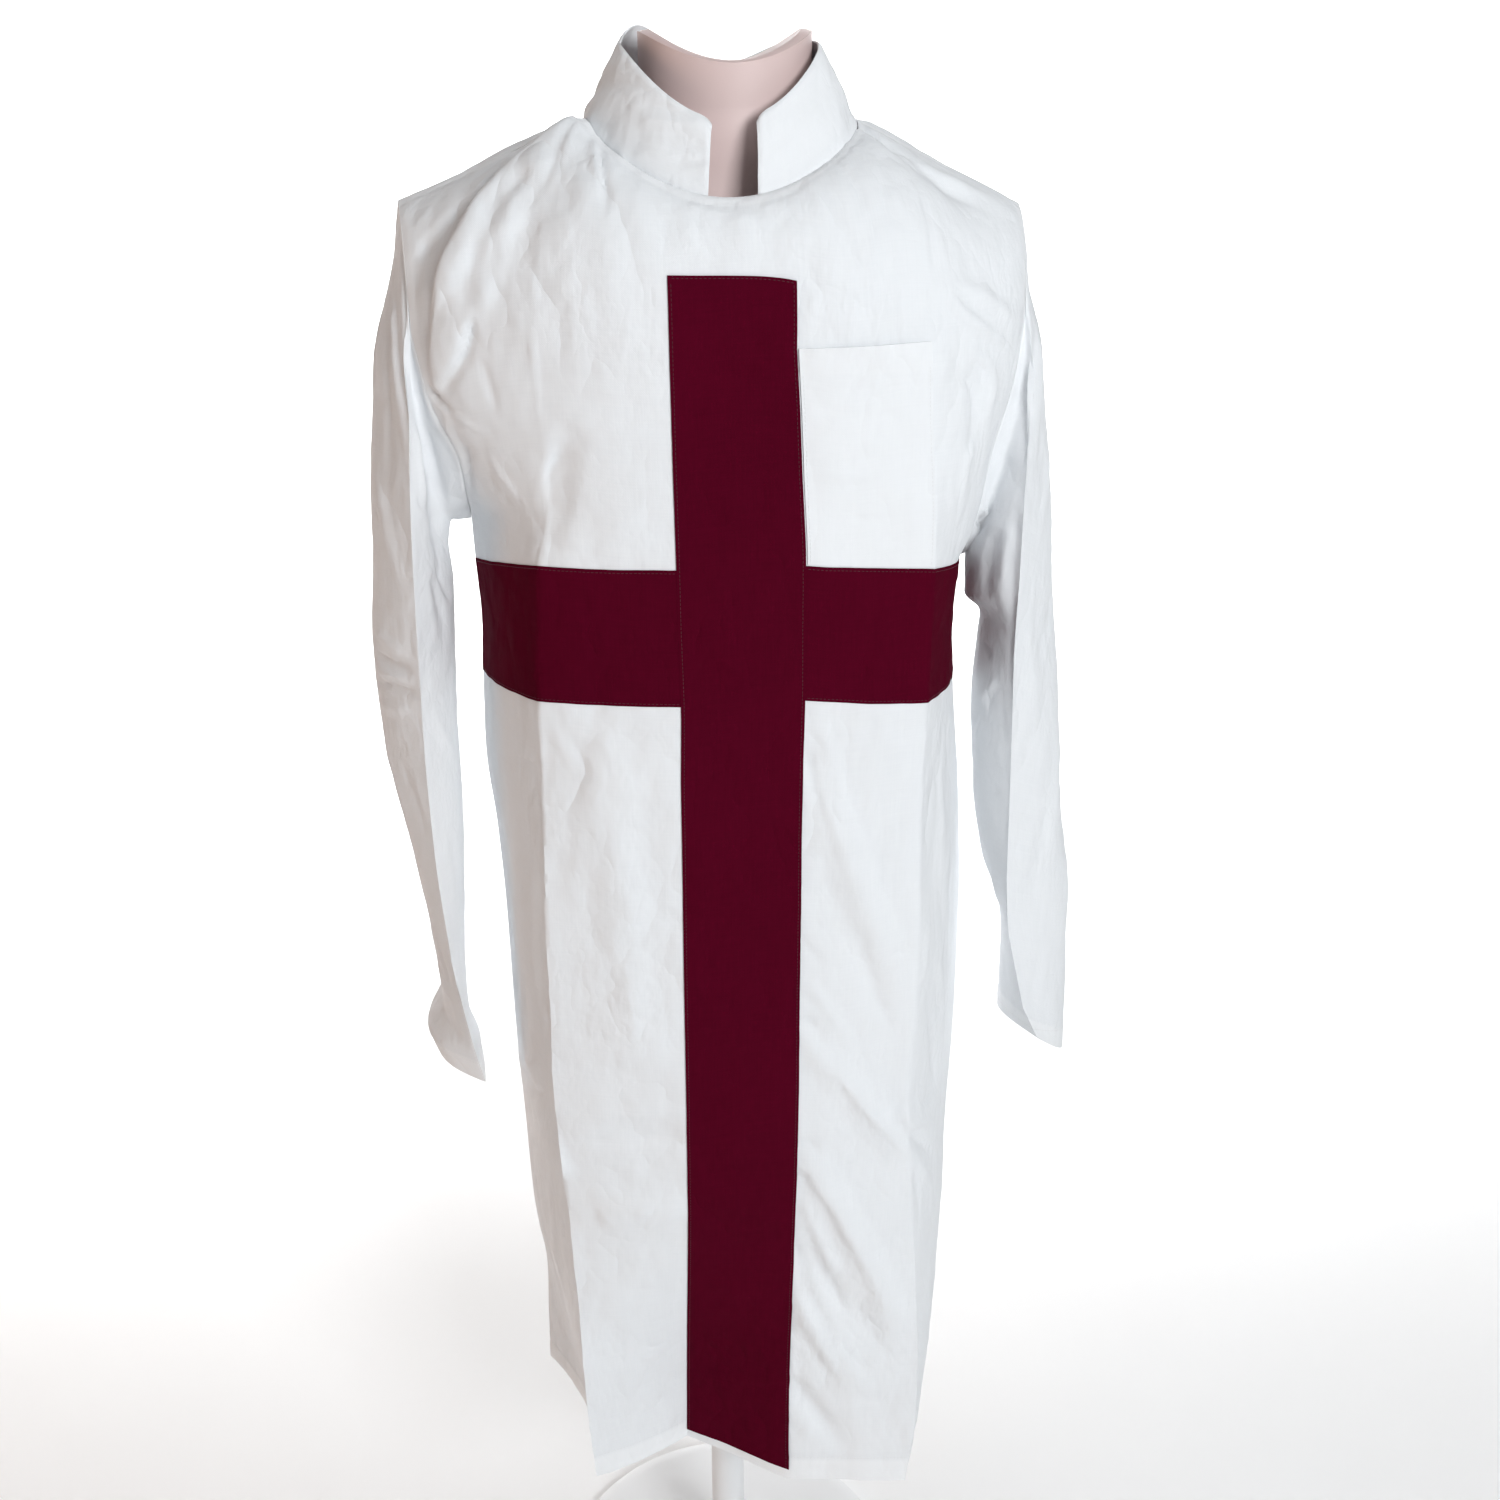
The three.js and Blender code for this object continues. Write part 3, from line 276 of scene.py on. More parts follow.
# Sleeves from the cuff up: pressed crease in front, side by the body, crease behind, outer side.
SLEEVE_HEAD = "z fx fy fz ix iy iz bx by bz ox oy oz"
SLEEVE_RIGHT = table(SLEEVE_HEAD, """
662 -206 -46 0 -214 22 2 -238 70 8 -246 4 0
684 -211 -46 0 -216 22 0 -246 72 4 -254 4 0
704 -215 -46 0 -221 20 0 -238 72 0 -240 6 0
812 -228 -46 0 -215 16 0 -238 74 0 -247 8 0
884 -232 -47 0 -211 12 0 -244 76 0 -258 10 0
962 -233 -48 0 -211 10 0 -247 80 0 -267 10 0
1038 -231.5 -50 0 -206 8 0 -246 84 0 -271 10 0
1098 -230 -54 0 -204 6 -10 -240 84 0 -265 8 0
1160 -227 -58 14 -206 8 -42 -234 82 14 -258 8 26
1205 -223 -60 28 -204 9 -70 -228 76 28 -250 6 58
""")
SLEEVE_LEFT = table(SLEEVE_HEAD, """
646 266 -46 24 247 18 18 288 64 0 305 4 -20
700 252 -46 0 245 14 0 286 68 0 303 4 0
776 234 -47 0 243 12 0 278 72 0 298 6 0
832 229 -48 0 222 10 0 266 74 0 291 8 0
900 227 -48 0 209 10 0 258 76 0 284 8 0
970 224 -50 0 206 10 0 250 80 0 276 10 0
1044 221 -54 0 207 6 -2 244 84 0 268 10 0
1090 220 -57 0 192 2 -26 238 84 0 263 8 0
1160 219 -60 14 192 4 -80 230 82 14 251 8 26
1205 219 -62 28 193 8 -110 223 76 28 240 6 58
""")
# Creases of the sleeves: q counts quarters from the outer side (0) over the front crease (1).
SLEEVE_CREASE_HEAD = "q1 z1 q2 z2 q3 z3 rise half lean sharp held"
SLEEVE_RIGHT_CREASES = table(SLEEVE_CREASE_HEAD, """
0.1 1036 0.65 1035 1.0 1034 -4.2 8 0 0.6 0
0.05 1010 0.7 1017 1.0 1018 -4.0 7 0 0.6 0
0.1 1022 0.6 1026 0.95 1026 3.0 7 0 0.5 0
0.15 1060 0.6 1052 0.95 1050 2.6 9 0 0.4 0
0.15 990 0.6 998 0.95 1002 2.4 9 0 0.3 0
0.45 1359 0.9 1309 1.05 1244 -3.4 8 0 0.6 0
0.33 1329 0.78 1254 1.0 1171 3.0 7 0 0.6 0
0.05 1300 0.1 1270 0.3 1220 -2.4 10 0 0.4 0
0.5 1290 0.62 1220 0.62 1120 -2.2 10 0 0.4 0
1.1 1171 1.22 1165 1.4 1150 -1.6 6 0 0.4 0
1.28 1112 1.4 1085 1.5 1038 -3.2 10 0 0.4 0
1.3 1240 1.5 1150 1.6 1046 -6.5 18 0 0.25 0
1.12 1232 1.2 1190 1.34 1130 2.4 6 0 0.8 0
1.45 1120 1.62 1090 1.85 1076 -2.6 7 0 0.7 0
1.3 1266 1.5 1233 1.67 1202 3.0 8 0 0.5 0
0.3 1190 0.6 1140 0.9 1080 2.2 11 0 0.3 0
0.1 980 0.3 920 0.5 860 1.8 13 0 0.2 0
0.5 960 0.72 920 0.9 880 -1.4 10 0 0.3 0
-0.3 900 -0.1 840 0.1 780 1.8 14 0 0.2 0
0.2 800 0.5 768 0.8 742 -1.8 9 0 0.4 0
0.1 760 0.4 740 0.7 728 2.0 9 0 0.4 0
1.2 1000 1.5 960 1.8 930 1.8 10 0 0.3 0
1.3 900 1.5 840 1.7 780 -1.6 11 0 0.3 0
2.3 1120 2.6 1070 2.9 1030 2.2 11 0 0.4 0
2.3 1036 2.6 1030 2.95 1026 -2.8 9 0 0.5 0
3.05 1034 3.4 1030 3.9 1040 -2.6 9 0 0.5 0
2.3 940 2.6 880 2.8 820 1.8 12 0 0.3 0
3.2 1120 3.5 1070 3.7 1040 2.4 10 0 0.4 0
3.2 960 3.5 900 3.8 840 -1.8 12 0 0.3 0
3.3 820 3.6 780 3.8 740 1.8 10 0 0.3 0
""")
SLEEVE_LEFT_CREASES = table(SLEEVE_CREASE_HEAD, """
0.8 1275 1.0 1233 1.08 1165 -4.4 11 0 0.5 0
0.55 1290 0.75 1230 0.8 1150 3.0 11 0 0.3 0
1.08 1165 1.08 1083 1.03 930 -2.0 8 0 0.4 0
1.33 1135 1.4 1101 1.5 1060 -2.2 10 0 0.5 0
1.16 1140 1.2 1098 1.26 1050 1.8 9 0 0.5 0
1.82 1152 1.7 1141 1.5 1138 4.0 7 0 0.6 0
1.82 1138 1.7 1127 1.5 1122 -4.0 8 0 0.7 0
1.7 1029 1.54 1021 1.48 1016 -2.6 7 0 0.5 0
1.5 982 1.7 958 1.9 934 -2.6 9 0 0.4 0
1.3 1010 1.5 985 1.75 970 2.0 9 0 0.3 0
0.82 1074 0.72 1002 0.62 926 1.8 13 0 0.2 0
0.2 1200 0.5 1150 0.8 1100 2.0 11 0 0.3 0
0.1 1080 0.4 1040 0.7 1010 -1.8 10 0 0.3 0
0.1 960 0.25 890 0.4 820 1.8 14 0 0.2 0
0.4 900 0.6 840 0.8 780 -1.6 12 0 0.3 0
-0.2 860 0 790 0.2 720 1.6 13 0 0.2 0
0.5 760 0.65 720 0.8 680 1.5 10 0 0.3 0
1.3 840 1.5 800 1.7 760 1.6 10 0 0.3 0
2.4 1080 2.6 1030 2.8 980 2.2 11 0 0.4 0
2.3 1030 2.6 1010 2.95 1004 -2.4 9 0 0.4 0
2.4 900 2.6 840 2.8 780 -1.8 12 0 0.3 0
3.2 1140 3.5 1090 3.8 1040 2.4 11 0 0.4 0
3.3 980 3.5 920 3.7 860 1.8 12 0 0.3 0
3.1 1010 3.5 1020 3.85 1024 -2.4 9 0 0.4 0
3.2 820 3.5 770 3.8 720 -1.6 11 0 0.3 0
""")
# The dress form: half its width and half its depth from the lower edge to the neck's rim.
FORM = table("z halfW halfD", """
690 96 60
700 132 84
740 156 95
820 160 94
900 146 86
980 134 80
1060 146 86
1150 162 93
1230 172 92
1290 184 84
1330 182 74
1356 160 65
1376 120 60
1394 84 59
1412 66 59
1433 59.5 57
1461 59.5 57
""")
NECK_X, NECK_Y = 5.15, 3
NECK_TOP_Z, NECK_SCOOP, NECK_TILT = 1461, 21, 10
# Angles round the neckline where a panel's lines meet it: 0 is the middle of the front and
# QUARTER the side at +X.
FRONT_NECK = [-QUARTER, -0.51, 0.4, QUARTER]
BACK_NECK = [QUARTER, 3 * QUARTER]
# bulge is how far each cell stands out at its middle, cells how many steps it is cut into.
PANELS = {
    "front": dict(neck=FRONT_NECK, ends=[TIP_L, NECK_L, NECK_R, TIP_R], bulge=[0, 3, 0, 2, 7],
                  folds=FRONT_FOLDS, creases=FRONT_CREASES, cells=[35, 31, 16, 34, 34], out=-1),
    "back": dict(neck=BACK_NECK, ends=[TIP_R, NECK_R, NECK_L, TIP_L], bulge=[9, 12, 9],
                 folds=BACK_FOLDS, creases=BACK_CREASES, cells=[30, 52, 30], out=1),
}


# ---- Shape functions
def column(tab, key, z):
    """Smooth value of one column at heights z, never past its neighbours."""
    zs, v = tab["z"], tab[key]
    z = np.asarray(z, float)
    gap = np.diff(zs)
    d = np.diff(v) / gap
    m = np.empty(len(v))
    m[0], m[-1] = d[0], d[-1]
    p, q = d[:-1], d[1:]
    same = p * q > 0
    m[1:-1] = np.where(same, 2 * p * q / np.where(same, p + q, 1), 0)
    k = np.clip(np.searchsorted(zs, z) - 1, 0, len(gap) - 1)
    t = np.clip((z - zs[k]) / gap[k], 0, 1)
    t2, t3 = t * t, t * t * t
    return ((2 * t3 - 3 * t2 + 1) * v[k] + (t3 - 2 * t2 + t) * gap[k] * m[k]
            + (3 * t2 - 2 * t3) * v[k + 1] + (t3 - t2) * gap[k] * m[k + 1])


def xyz(x, y, z):
    return np.stack(np.broadcast_arrays(np.asarray(x, float), y, z), axis=-1)


def unit(v):
    return v / np.maximum(np.linalg.norm(v, axis=-1, keepdims=True), 1e-9)


def smooth(t):
    t = np.clip(t, 0, 1)
    return t * t * (3 - 2 * t)


def neckline(angle):
    across, deep = np.sin(angle), np.cos(angle)
    left = across < 0
    sx, sy, sz = (np.where(left, NECK_L[i], NECK_R[i]) for i in range(3))
    my = np.where(deep > 0, NECK_FRONT[0], NECK_BACK[0])
    mz = np.where(deep > 0, NECK_FRONT[1], NECK_BACK[1])
    return xyz(sx * np.abs(across), sy + (my - sy) * np.abs(deep), mz + (sz - mz) * across ** 2)


def armhole(key, z):
    return np.where(z <= ARM_HIGH_Z, 0, column(ARMHOLE, key, z))


def stations(kind, z):
    """Upright lines of a panel at heights z, counter-clockwise from seam to seam."""
    c = lambda key: column(BODY, key, z)
    way, gap = (-1, 0) if kind == "front" else (1, SEAM)
    left, right = (xyz(c(f"side{s}x"), c(f"side{s}y") + way * armhole(kind + s, z) + gap,
                       z - c(f"drop{s}")) for s in "LR")
    if kind == "back":
        return [right, xyz(c("backX"), c("backY"), z), xyz(-c("backX"), c("backY"), z), left]
    return [left, xyz(c("creaseLx"), c("creaseLy"), z), xyz(c("bandLx"), c("bandLy"), z),
            xyz(c("bandRx"), c("bandRy"), z), xyz(c("creaseRx"), c("creaseRy"), z - c("dropC")), right]


def broad_folds(folds, x, z):
    rise = np.zeros_like(x)
    for x1, z1, x2, z2, up, half in zip(*folds.values()):
        dx, dz = x2 - x1, z2 - z1
        length = math.hypot(dx, dz)
        s = np.clip(((x - x1) * dx + (z - z1) * dz) / length ** 2, 0, 1)
        away = np.clip(np.abs((x - x1) * dz - (z - z1) * dx) / length / half, 0, 1)
        rise += up * np.cos(QUARTER * away) ** 2 * np.sin(math.pi * s) ** 0.6
    return rise


def creases(tab, a, z):
    """Height of listed creases: narrow where they begin, broad where they die out."""
    rise = np.zeros_like(a)
    t = np.linspace(0, 1, CURVE_STEPS + 1)
    for a1, z1, a2, z2, a3, z3, up, half, lean, sharp, held in zip(*tab.values()):
        ca = (1 - t) ** 2 * a1 + 2 * t * (1 - t) * (2 * a2 - (a1 + a3) / 2) + t * t * a3
        cz = (1 - t) ** 2 * z1 + 2 * t * (1 - t) * (2 * z2 - (z1 + z3) / 2) + t * t * z3
        reach = half * 2
        near = ((a > ca.min() - reach) & (a < ca.max() + reach)
                & (z > cz.min() - reach) & (z < cz.max() + reach))
        if not near.any():
            continue
        pa, pz = a[near][:, None], z[near][:, None]
        da, dz = np.diff(ca), np.diff(cz)
        k = np.clip(((pa - ca[:-1]) * da + (pz - cz[:-1]) * dz) / (da ** 2 + dz ** 2), 0, 1)
        oa, oz = pa - ca[:-1] - k * da, pz - cz[:-1] - k * dz
        best = np.hypot(oa, oz).argmin(axis=1)[:, None]
        pick = lambda v: np.take_along_axis(v, best, axis=1)[:, 0]
        s = (best[:, 0] + pick(k)) / CURVE_STEPS
        left = np.sign(pick(da * oz - dz * oa))
        width = half * (1 + lean * left) * (0.75 + 0.5 * s)
        d = np.clip(np.hypot(pick(oa), pick(oz)) / width, 0, 1)
        profile = (1 - sharp) * np.cos(QUARTER * d) ** 2 + sharp * (1 - d) ** 2 * (1 + 0.6 * d)
        begin = 1.0 if held else smooth(s / 0.3)
        end = 1.0 if held > 1 else smooth((1 - s) / 0.5)
        rise[near] += up * profile * begin * end
    return rise


def waves(a, z, seed, count, low, high, size, upright=1.0):
    """Uneven surface of many small waves between two wavelengths; size is its spread."""
    rng = np.random.default_rng(seed)
    out = np.zeros_like(a)
    for _ in range(count):
        wave = math.exp(rng.uniform(math.log(low), math.log(high)))
        turn = rng.uniform(-QUARTER, QUARTER) * upright
        k = 2 * math.pi / wave
        out += (wave / high) * np.sin(k * (a * math.cos(turn) + z * math.sin(turn)) + rng.uniform(0, 6.28))
    return size * out / max(out.std(), 1e-6)


def panel(kind, us, rs):
    """Points of a panel: us count its stations, rs its rows from the hem up."""
    spec = PANELS[kind]
    us, rs = np.asarray(us, float), np.asarray(rs, float)
    z = np.interp(np.minimum(rs, TOP_LOW), range(TOP_LOW + 1), LOW_ROWS)
    st = np.stack(stations(kind, z))
    last = len(st) - 1
    k = np.clip(np.floor(us).astype(int), 0, last - 1)
    t = us - k
    a, b = st[k].transpose(1, 0, 2), st[k + 1].transpose(1, 0, 2)
    p = a + (b - a) * t[None, :, None]
    out = unit(xyz(b[..., 1] - a[..., 1], a[..., 0] - b[..., 0], 0))
    bow = np.broadcast_to(np.array(spec["bulge"], float)[k], p.shape[:2]).copy()
    if kind == "front":
        bow[:, k == 0] = column(BODY, "bow", z)[:, None]
    p = p + out * (bow * 4 * t * (1 - t))[..., None]
    s = np.interp(rs - TOP_LOW, range(len(YOKE_STEPS)), YOKE_STEPS)[:, None]
    ends = np.array(spec["ends"], float)
    end = np.empty((len(us), 3))
    for i, (ki, ti) in enumerate(zip(k, t)):
        if 0 < ki < last - 1:
            end[i] = neckline(spec["neck"][ki - 1] + (spec["neck"][ki] - spec["neck"][ki - 1]) * ti)
        else:
            first, second = (0, 1) if ki == 0 else (2, 3)
            end[i] = ends[first] + (ends[second] - ends[first]) * ti
    if kind == "back":
        end[:, 1] += SEAM
    share = np.stack([s * s + 0 * t, 1 - np.cos(QUARTER * s) + 0 * t, np.sin(QUARTER * s) + 0 * t], -1)
    p = p + (end[None] - p) * share
    fade = np.clip(np.minimum(us, last - us) * FOLD_FADE, 0, 1)
    p[..., 1] += spec["out"] * broad_folds(spec["folds"], p[..., 0], p[..., 2]) * fade[None, :]
    return p


def grid_normals(p, closed=False):
    """Outward normals of a grid whose rows run up and whose columns run counter-clockwise."""
    if closed:
        across = np.roll(p, -1, axis=1) - np.roll(p, 1, axis=1)
    else:
        across = np.gradient(p, axis=1)
    return unit(np.cross(across, np.gradient(p, axis=0)))


def lengths(p, axis):
    """Running length along a grid's rows or columns."""
    step = np.linalg.norm(np.diff(p, axis=axis), axis=-1)
    pad = [(0, 0), (0, 0)]
    pad[axis] = (1, 0)
    return np.pad(np.cumsum(step, axis=axis), pad)


# ---- Meshes
def new_object(name, verts, faces, uv=None, sharp=50, layers=None):
    """Object from vertices and a list of face arrays, each array with one face in a row."""
    mesh = bpy.data.meshes.new(name)
    sizes = np.concatenate([np.full(len(block), block.shape[1]) for block in faces])
    flat = np.concatenate([block.ravel() for block in faces])
    starts = np.concatenate([[0], np.cumsum(sizes)[:-1]])
    mesh.vertices.add(len(verts))
    mesh.vertices.foreach_set("co", (np.asarray(verts, float) * MM).ravel())
    mesh.loops.add(len(flat))
    mesh.loops.foreach_set("vertex_index", flat.astype(np.int32))
    mesh.polygons.add(len(sizes))
    mesh.polygons.foreach_set("loop_start", starts.astype(np.int32))
    mesh.polygons.foreach_set("loop_total", sizes.astype(np.int32))
    mesh.update(calc_edges=True)
    mesh.validate()
    if uv is not None:
        layer = mesh.uv_layers.new(name="cloth")
        layer.data.foreach_set("uv", (np.asarray(uv, float)[flat] * MM).ravel())
    if layers is not None:
        mesh.attributes.new("layers", "FLOAT", "POINT").data.foreach_set("value", layers)
    mesh.shade_smooth()
    mesh.set_sharp_from_angle(angle=math.radians(sharp))
    obj = bpy.data.objects.new(name, mesh)
    bpy.context.scene.collection.objects.link(obj)
    return obj


def shell(name, outer, inner, uv, layers, closed=False):
    """Closed wall between two grids of points; layers is 0 on single cloth and 1 on doubled."""
    rows, cols = outer.shape[:2]
    ids = np.arange(rows * cols).reshape(rows, cols)
    step = np.roll(ids, -1, axis=1) if closed else ids[:, 1:]
    here = ids if closed else ids[:, :-1]
    top = np.stack([here[:-1], step[:-1], step[1:], here[1:]], -1).reshape(-1, 4)
    off = rows * cols
    low = np.stack([here[0] + off, step[0] + off, step[0], here[0]], -1)
    high = np.stack([here[-1], step[-1], step[-1] + off, here[-1] + off], -1)
    faces = [top, top[:, ::-1] + off, low, high]
    if not closed:
        one, two = ids[:-1, 0], ids[1:, 0]
        faces.append(np.stack([one + off, one, two, two + off], -1))
        one, two = ids[:-1, -1], ids[1:, -1]
        faces.append(np.stack([one, one + off, two + off, two], -1))
    verts = np.concatenate([outer.reshape(-1, 3), inner.reshape(-1, 3)])
    both = np.concatenate([uv.reshape(-1, 2)] * 2)
    doubled = np.concatenate([np.broadcast_to(layers, outer.shape[:2]).ravel()] * 2)
    return new_object(name, verts, faces, both, layers=doubled)


def capped(name, grid, low, high, sharp):
    """Closed body of stacked rings, each end drawn to a point."""
    rows, around = grid.shape[:2]
    ids = np.arange(rows * around).reshape(rows, around)
    nxt = np.roll(ids, -1, axis=1)
    quads = np.stack([ids[:-1], nxt[:-1], nxt[1:], ids[1:]], -1).reshape(-1, 4)
    tip = np.full(around, rows * around)
    faces = [quads, np.stack([tip, nxt[0], ids[0]], -1), np.stack([tip + 1, ids[-1], nxt[-1]], -1)]
    return new_object(name, np.concatenate([grid.reshape(-1, 3), [low, high]]), faces, sharp=sharp)


def finer(cells):
    """Stations of a panel with so many steps between its lines."""
    return np.concatenate([[0.0]] + [k + np.arange(1, count + 1) / count for k, count in enumerate(cells)])


def fine_rows(low_step, high_step):
    """Rows of the panels, so many millimetres apart below and above the arms of the cross."""
    heights = LOW_ROWS + [CHEST_Z + YOKE_SPACING * i for i in range(1, len(YOKE_STEPS))]
    out = [0.0]
    for k in range(LAST_ROW):
        step = low_step if heights[k] < ARM_HIGH_Z else high_step
        n = max(2, math.ceil((heights[k + 1] - heights[k]) / step))
        out += [k + (i + 1) / n for i in range(n)]
    return np.array(out)


def row_at(z):
    return float(np.interp(z, LOW_ROWS, range(TOP_LOW + 1)))


def ridge(away, half):
    """Rounded ridge: 1 on its line and nearly 0 two halves away from it."""
    return np.exp(-(away / half) ** 2)


def within(depth, from_edge, soft=1.5):
    """1 up to that depth from an edge, where cloth lies double, then 0."""
    return smooth((depth - from_edge) / soft)


def turned_in(from_stitch, step, half):
    """Low step of an edge that is turned in, with a dip along its stitching."""
    return step * smooth(0.5 - from_stitch / 3) - 0.35 * ridge(from_stitch, half)


def cloth_wall(up):
    return (CLOTH + HEM_EXTRA * within(HEM_DEPTH, up, 2))[..., None]


class Sheet:
    """Finished outer surface of a panel, sampled on a grid of stations and rows."""

    def __init__(self, kind, low_step, high_step, seed):
        spec = PANELS[kind]
        self.us, self.rs = finer(spec["cells"]), fine_rows(low_step, high_step)
        base = panel(kind, self.us, self.rs)
        last = len(spec["bulge"])
        around = lengths(base, 1)
        middle = np.argmin(np.abs(self.us - last / 2))
        a = around - around[:, middle:middle + 1]
        if kind == "back":
            a = -a
        z = base[..., 2]
        up = lengths(base, 0)
        fade_u = smooth(np.minimum(self.us, last - self.us) * SIDE_FADE)[None, :]
        fade_top = smooth((LAST_ROW - self.rs) / 1.2)[:, None]
        soft = waves(a, z, seed, count=26, low=70, high=210, size=0.8, upright=0.75)
        soft += waves(a, z, seed + 1, count=60, low=12, high=40, size=0.17)
        rise = creases(spec["creases"], a, z) * (0.45 + 0.55 * fade_top) + soft * (0.25 + 0.75 * fade_top)
        rise *= fade_u
        # The hem is turned up: a low step at its stitching, with puckers beside it.
        rng = np.random.default_rng(seed + 7)
        pucker = sum(np.sin(a * 2 * math.pi / w + rng.uniform(0, 6)) for w in (8.3, 9.7, 12.1)) / 3
        from_stitch = up - HEM_DEPTH
        rise += turned_in(from_stitch, 0.32, 1.6)
        rise += 0.22 * pucker * np.exp(-np.abs(from_stitch) / 9)
        # Seam allowances under the neck seam and the shoulder seams, then at the sides.
        down = up[-1:] - up
        rise += 0.8 * smooth(1.4 - down / 7) - 0.25 * ridge(down - TOP_ALLOWANCE, 2.4)
        side = np.minimum(around, around[:, -1:] - around)
        rise += 0.2 * ridge(side - SIDE_STITCH, 3.0) - 0.15 * ridge(side - SIDE_ALLOWANCE, 1.8)
        self.layers = np.maximum(within(HEM_DEPTH, up), 0.6 * within(TOP_ALLOWANCE, down))
        self.layers = np.maximum(self.layers, 0.6 * within(SIDE_ALLOWANCE, side))
        self.outer = base + grid_normals(base) * rise[..., None]
        self.normal = grid_normals(self.outer)
        self.uv = np.stack([a, up], -1)
        self.up = up

    def at(self, us, rs):
        """Points, normals and cloth coordinates at any stations and rows."""
        return tuple(sample(grid, self.us, self.rs, us, rs) for grid in (self.outer, self.normal, self.uv))


def sample(grid, us, rs, u, r):
    """Values of a grid at matching arrays of stations and rows."""
    u, r = np.broadcast_arrays(np.asarray(u, float), np.asarray(r, float))
    i = np.clip(np.searchsorted(rs, r) - 1, 0, len(rs) - 2)
    j = np.clip(np.searchsorted(us, u) - 1, 0, len(us) - 2)
    s = np.clip((r - rs[i]) / (rs[i + 1] - rs[i]), 0, 1)[..., None]
    t = np.clip((u - us[j]) / (us[j + 1] - us[j]), 0, 1)[..., None]
    return ((1 - s) * (1 - t) * grid[i, j] + (1 - s) * t * grid[i, j + 1]
            + s * (1 - t) * grid[i + 1, j] + s * t * grid[i + 1, j + 1])


# ---- Ties to the frame
def place(obj, mat, node=None):
    """Paints a piece and ties it to the frame; node is the solid that it replaces."""
    obj.data.materials.append(mat)
    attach(obj, "root")
    if node:
        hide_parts(node)


def as_cloth(obj, mat, node):
    """Places a piece of cloth."""
    place(obj, mat, node)


# ---- Materials
class Nodes:
    """Short way to build a node tree."""

    def __init__(self, name, rough):
        self.mat = bpy.data.materials.new(name)
        self.mat.use_nodes = True
        self.tree = self.mat.node_tree
        self.shader = self.tree.nodes["Principled BSDF"]
        self.shader.inputs["Roughness"].default_value = rough
        coord = self.add("ShaderNodeTexCoord")
        self.uv, self.object = coord.outputs["UV"], coord.outputs["Object"]

    def add(self, kind, inputs=None, **props):
        node = self.tree.nodes.new(kind)
        for key, value in props.items():
            setattr(node, key, value)
        for key, value in (inputs or {}).items():
            if isinstance(value, bpy.types.NodeSocket):
                self.tree.links.new(value, node.inputs[key])
            else:
                node.inputs[key].default_value = value
        return node

    def math(self, op, a, b=0.0):
        return self.add("ShaderNodeMath", {0: a, 1: b}, operation=op).outputs[0]

    def mix(self, fac, a, b):
        return self.add("ShaderNodeMix", {0: fac, 6: a, 7: b}, data_type="RGBA").outputs[2]

    def noise(self, where, scale, detail=2.0, seed=None):
        inputs = {"Vector": where, "Scale": scale, "Detail": detail}
        if seed is None:
            return self.add("ShaderNodeTexNoise", inputs).outputs["Fac"]
        inputs["W"] = seed
        return self.add("ShaderNodeTexNoise", inputs, noise_dimensions="4D").outputs["Fac"]

    def stretch(self, where, scale):
        return self.add("ShaderNodeMapping", {"Vector": where, "Scale": scale}).outputs[0]

    def remap(self, value, low, high, new_low, new_high):
        inputs = {0: value, 1: low, 2: high, 3: new_low, 4: new_high}
        return self.add("ShaderNodeMapRange", inputs).outputs[0]

    def bump(self, height, strength, distance, normal=None):
        inputs = {"Height": height, "Strength": strength, "Distance": distance}
        if normal is not None:
            inputs["Normal"] = normal
        return self.add("ShaderNodeBump", inputs).outputs[0]

    def link(self, value, key):
        self.tree.links.new(value, self.shader.inputs[key])


THREAD = 0.0006              # metres from thread to thread of the weave


def cotton(name, light, dark, doubled, gloss):
    """Plain-weave cotton: light and dark end its colour variation, doubled is cloth on cloth."""
    n = Nodes(name, rough=0.92)
    split = n.add("ShaderNodeSeparateXYZ", {0: n.uv}).outputs
    warp, weft = (n.math("SINE", n.math("MULTIPLY", split[i], math.pi / THREAD)) for i in (0, 1))
    slub = n.math("ADD", *(n.noise(n.stretch(n.uv, scale), 1.0) for scale in ((900, 30, 1), (30, 900, 1))))
    cloud = n.noise(n.object, 7.0, 3.0)
    tone = n.math("ADD", n.math("MULTIPLY", slub, 0.35), n.math("MULTIPLY", cloud, 0.4))
    shade = n.remap(tone, 0.3, 0.8, 0.0, 1.0)
    layers = n.add("ShaderNodeAttribute", attribute_name="layers").outputs["Fac"]
    n.link(n.mix(layers, n.mix(shade, dark, light), doubled), "Base Color")
    # Coarse and fine crumpling, each strong in some patches and weak in others.
    crumples = []
    squashed = n.stretch(n.object, (1.0, 1.0, 0.6))
    for scale, deep, seed in ((22.0, 0.0120, 0.0), (58.0, 0.0036, 5.0)):
        fold = n.noise(squashed, scale, 2.5, seed)
        ridged = n.math("ABSOLUTE", n.math("SUBTRACT", fold, 0.5))
        share = n.remap(n.noise(n.object, 6.0, seed=seed + 2), 0.38, 0.66, 0.12, 1.0)
        crumples.append(n.math("MULTIPLY", n.math("MULTIPLY", ridged, share), deep))
    soft = n.bump(n.math("ADD", *crumples), 1.0, 1.0)
    threads = n.math("ADD", n.math("MULTIPLY", warp, weft), n.math("MULTIPLY", slub, 1.2))
    n.link(n.bump(threads, 0.35, 0.00012, soft), "Normal")
    n.shader.inputs["Specular IOR Level"].default_value = gloss
    return n.mat


